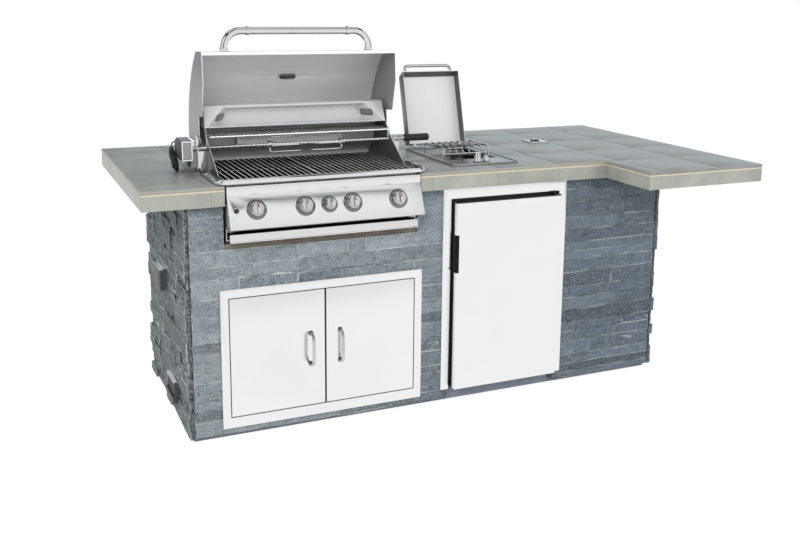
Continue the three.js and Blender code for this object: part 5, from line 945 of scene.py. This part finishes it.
# The hood: one sheet rolled to an arc between two shaped end caps, satin inside and out, with a
# bright tube handle on its face and an oval gauge.
hood_steel = steel_material(
    "hood_steel", (0.84, 0.845, 0.85), (0.89, 0.895, 0.90), 0.34, 0.44, metallic=0.5)
cap_steel = steel_material(
    "cap_steel", (0.27, 0.273, 0.278), (0.34, 0.343, 0.348), 0.34, 0.44, metallic=0.6)
hood = dress("hood_shell", hood_steel, 0.0006)
second_finish(hood, cap_steel, lambda face: abs(face.normal.x) > 0.9)
dress("hood_gauge", dark_chrome, 0.0010)
handle_foot = 1.4316
handle_level = 1.5086
handle_y = -0.044
handle_half = 0.294
collar_out = 0.203
collar_half = 0.006
handle_line = [(-handle_half, handle_foot), (-handle_half, handle_level),
               (handle_half, handle_level), (handle_half, handle_foot)]
hood_tube = bent_tube([(grill_centre.x + across, handle_y, z) for across, z in handle_line],
                      0.014, 0.065, 32, 12)
ring = turned_piece([
    (0.0140, -collar_half), (0.0160, -collar_half), (0.0165, -0.0052), (0.0165, 0.0052),
    (0.0160, collar_half), (0.0140, collar_half), (0.0140, -collar_half)], 32)
collars = [hood_tube]
lengthwise = Matrix.Rotation(math.pi / 2, 4, "Y")
for side in (-1, 1):
    on_bar = Vector((grill_centre.x + side * collar_out, handle_y, handle_level))
    on_foot = Vector((grill_centre.x + side * handle_half, handle_y, handle_foot + collar_half))
    collars.append(copy_piece(ring, Matrix.Translation(on_bar) @ lengthwise))
    collars.append(copy_piece(ring, Matrix.Translation(on_foot)))
bpy.data.objects.remove(ring)
hood_handle = stand_in(weld(collars), "hood_handle", chrome)
# Dark chrome on the underside and the outer sides of the legs: a painted reflection of dark surroundings.
second_finish(hood_handle, dark_chrome, lambda face: face.normal.z < -0.5 or abs(face.normal.x) > 0.9)

# The spit: a chromed rod through the slots, two forks held by thumb screws, a fluted black handle
# and a motor in a folded steel housing.
dress("spit_rod", chrome, 0.0006)
for node in ("spit_fork_left", "spit_fork_right"):
    dress(node, chrome, turn=50)
dress("spit_handle", black_plastic, 0.0006)
motor_steel = steel_material(
    "motor_steel", 0.28, (0.44, 0.44, 0.435), 0.28, 0.4, metallic=0.8)
bright_frame = steel_material(
    "bright_frame", (0.84, 0.845, 0.85), (0.89, 0.895, 0.90), 0.16, 0.24, metallic=0.6)
motor = dress("motor_housing", motor_steel)
pick(motor)
for face in motor.data.polygons:
    face.select = face.normal.y < -0.99 and face.area > 0.001
edit("FACE")
bpy.ops.mesh.inset(thickness=0.0045)
bpy.ops.mesh.extrude_region_move(TRANSFORM_OT_translate={"value": (0, 0.002, 0)})
leave_edit()
second_finish(motor, bright_frame, lambda face: face.normal.y < -0.99 and face.center.y < -0.1165)
# The housing's left side is dark: painted shade.
second_finish(motor, painted_shade_steel, lambda face: face.normal.x < -0.9)
soften(motor, 0.0012)

# The side burner: a brushed tray let into the tiles, a cast head, a bent wire grate, two knobs,
# and a shallow lid that stands open on its rear hinges and has a bow handle.
burner_metal = steel_material("burner_metal", 0.20, (0.36, 0.36, 0.35), 0.25, 0.4, wire_grain)
lid_steel = steel_material(
    "lid_steel", (0.64, 0.645, 0.65), (0.68, 0.685, 0.69), 0.32, 0.40, depth=0.000002, metallic=0.4)
tray_steel = steel_material("tray_steel", 0.44, (0.54, 0.54, 0.535), 0.2, 0.3)
dress("side_burner_tray", tray_steel, 0.0006)
dress("side_burner_head", burner_metal, 0.0008)
side_grate = dress("side_burner_grate", chrome, turn=50)
# The rods' undersides are dark: painted shade.
second_finish(side_grate, painted_shade_steel, lambda face: face.normal.z < -0.3)
for node in ("side_knob_1", "side_knob_2"):
    dress(node, chrome, 0.0008)
side_lid = dress("side_burner_lid", lid_steel, 0.0006)
lid_up = 0.8084
lid_lean = 0.5886
lid_inward = Vector((0, -lid_up, lid_lean))
# The lid's side walls are darker steel: painted shade.
second_finish(side_lid, shaded_side_steel, lambda face: abs(face.normal.dot(lid_inward)) < 0.5)


def off_lid(across, out):
    """A point beside the middle of the open lid's handle, at a distance off its upper edge."""
    return (0.141 + across, 0.27457 + lid_lean * out, 1.30365 + lid_up * out)


lid_handle_half = 0.112
lid_handle_line = [(-lid_handle_half, 0.0003), (-lid_handle_half, 0.042),
                   (lid_handle_half, 0.042), (lid_handle_half, 0.0003)]
lid_tube = bent_tube([off_lid(across, out) for across, out in lid_handle_line], 0.007, 0.02)
foot_turn = Vector((0, lid_lean, lid_up)).to_track_quat("Z", "Y").to_matrix().to_4x4()
ferrule = turned_piece([
    (0.0069, 0.0003), (0.0090, 0.0003), (0.0090, 0.0040), (0.0083, 0.0053), (0.0069, 0.0053),
    (0.0069, 0.0003)], 32)
lid_parts = [lid_tube] + [copy_piece(ferrule, Matrix.Translation(off_lid(x, 0)) @ foot_turn)
                          for x in (-lid_handle_half, lid_handle_half)]
bpy.data.objects.remove(ferrule)
stand_in(weld(lid_parts), "side_burner_handle", chrome)

# Cabinet doors under the grill: a flanged frame over the stones, and two folded pans, each ringed with black
# that paints the shadow in the gap round it, and bow handles on turned feet.
door_steel = steel_material(
    "door_steel", (0.86, 0.865, 0.865), (0.91, 0.915, 0.915), 0.16, 0.24, depth=0.000003)
painted_gap_shadow = moulded_material("painted_gap_shadow", (0.010, 0.010, 0.011), 0.5, 700.0)
dress("door_frame", door_steel, 0.0008)


def folded_pan(x0, x1, y0, y1, z0, z1, edge, wall):
    """A pan with a rounded front edge and a hollow back."""
    pan = new_block(x0, x1, y0, y1, z0, z1)
    edit(every=True)
    bpy.ops.mesh.bevel(offset=edge, segments=2, affect="EDGES")
    leave_edit()
    for face in pan.data.polygons:
        face.select = face.normal.y > 0.99 and face.area > (x1 - x0) * (z1 - z0) / 2
    edit("FACE")
    bpy.ops.mesh.inset(thickness=wall)
    bpy.ops.mesh.extrude_region_move(TRANSFORM_OT_translate={"value": (0, y0 - y1 + 2 * wall, 0)})
    leave_edit()
    return pan


def shadow_ring(x0, x1, y0, y1, z0, z1, width):
    """A flat black ring round a door's edge, painted shadow for the gap round it."""
    ring = new_block(x0, x1, y0, y1, z0, z1)
    for face in ring.data.polygons:
        face.select = abs(face.normal.y) > 0.99
    edit("FACE")
    bpy.ops.mesh.inset(thickness=width, use_individual=True)
    bpy.ops.mesh.bridge_edge_loops()
    leave_edit()
    return ring


bow_end = turned_piece([
    (0.0100, 0.0), (0.0100, 0.0022), (0.0094, 0.0034), (0.0078, 0.0046), (0.0066, 0.0058),
    (0.0063, 0.0070)], 32)
door_spans = {"left": (-0.9452, -0.5723), "right": (-0.5707, -0.1978)}
door_face = -0.3463
bow_foot = -0.3466
bow_front = -0.3823
bow_across = 0.059
bow_levels = (0.2535, 0.3765)
bow_line = [(bow_foot, bow_levels[0]), (bow_front, bow_levels[0]),
            (bow_front, bow_levels[1]), (bow_foot, bow_levels[1])]
foot_end = -0.356
for side, (x0, x1) in door_spans.items():
    pan = folded_pan(x0 + 0.0025, x1 - 0.0025, door_face, -0.3283, 0.0863, 0.5467, 0.0010, 0.002)
    stand_in(pan, "door_" + side, door_steel)
    # A black ring round the door: painted shadow in the gap.
    gap_shade = shadow_ring(x0 + 0.0002, x1 - 0.0002, -0.3448, -0.3288, 0.0840, 0.5490, 0.006)
    settle(gap_shade, "door_%s_seal" % side, painted_gap_shadow, homes["door_" + side])
    across = grill_centre.x + (-bow_across if side == "left" else bow_across)
    bow = bent_tube([(across, y, z) for y, z in bow_line], 0.006, 0.026)
    out = Matrix.Rotation(math.pi / 2, 4, "X")
    feet = [copy_piece(bow_end, Matrix.Translation((across, bow_foot, z)) @ out) for z in bow_levels]
    handle = stand_in(weld([bow] + feet), "door_handle_" + side, knob_chrome)
    second_finish(handle, dark_chrome, lambda face: face.center.y > foot_end)
bpy.data.objects.remove(bow_end)

# The fridge: a stainless trim, a white lined cabinet with a wire shelf, and a thick door with a steel face
# and a grip cut in its edge. The door behind its steel face, the inside of the grip and the cabinet's front
# edges are black: painted shade in the gap round the door and in the grip, which also stands for the door's
# black gasket.
white_liner = moulded_material("white_liner", (0.78, 0.79, 0.79), 0.3, 300.0)
dress("fridge_trim", door_steel, 0.0006)
fridge_centre = 0.2115
cabinet = dress("fridge_cabinet", white_liner)
# Black on the cabinet's front edges and outer sides: painted shade in the gap round the door.
second_finish(cabinet, black_plastic,
              lambda face: face.center.y < -0.30 or abs(face.center.x - fridge_centre) > 0.235)
fridge_door = dress("fridge_door", door_steel)
fridge_corners = (Vector((-0.0315, -0.379, 0.062)), Vector((0.4545, -0.331, 0.843)))
steel_depth = -0.356

# Only the fridge door's outer edges are rounded, so that its pin bores keep their clearance.
pick(fridge_door)
edit("EDGE")
bpy.ops.mesh.select_all(action="DESELECT")
leave_edit()
for edge in fridge_door.data.edges:
    middle = sum((fridge_door.data.vertices[i].co for i in edge.vertices), Vector()) / 2
    on_sides = [min(abs(middle[i] - corner[i]) for corner in fridge_corners) < 0.0001 for i in range(3)]
    edge.select = sum(on_sides) > 1
edit()
bpy.ops.mesh.bevel(offset=0.0012, segments=2, affect="EDGES")
bpy.ops.mesh.select_mode(type="FACE")
bpy.ops.mesh.select_all(action="SELECT")
bpy.ops.mesh.bisect(plane_co=(0, steel_depth, 0), plane_no=(0, 1, 0))
leave_edit()
# Black behind the steel face and inside the grip: painted shade in the gap and the grip, and the door's black
# gasket.
second_finish(fridge_door, black_plastic, lambda face: face.center.y > steel_depth or (
    -0.0312 < face.center.x < -0.0180 and 0.5575 < face.center.z < 0.7145 and face.center.y > -0.3788))
dress("fridge_shelf", chrome, 0.0004, 1)
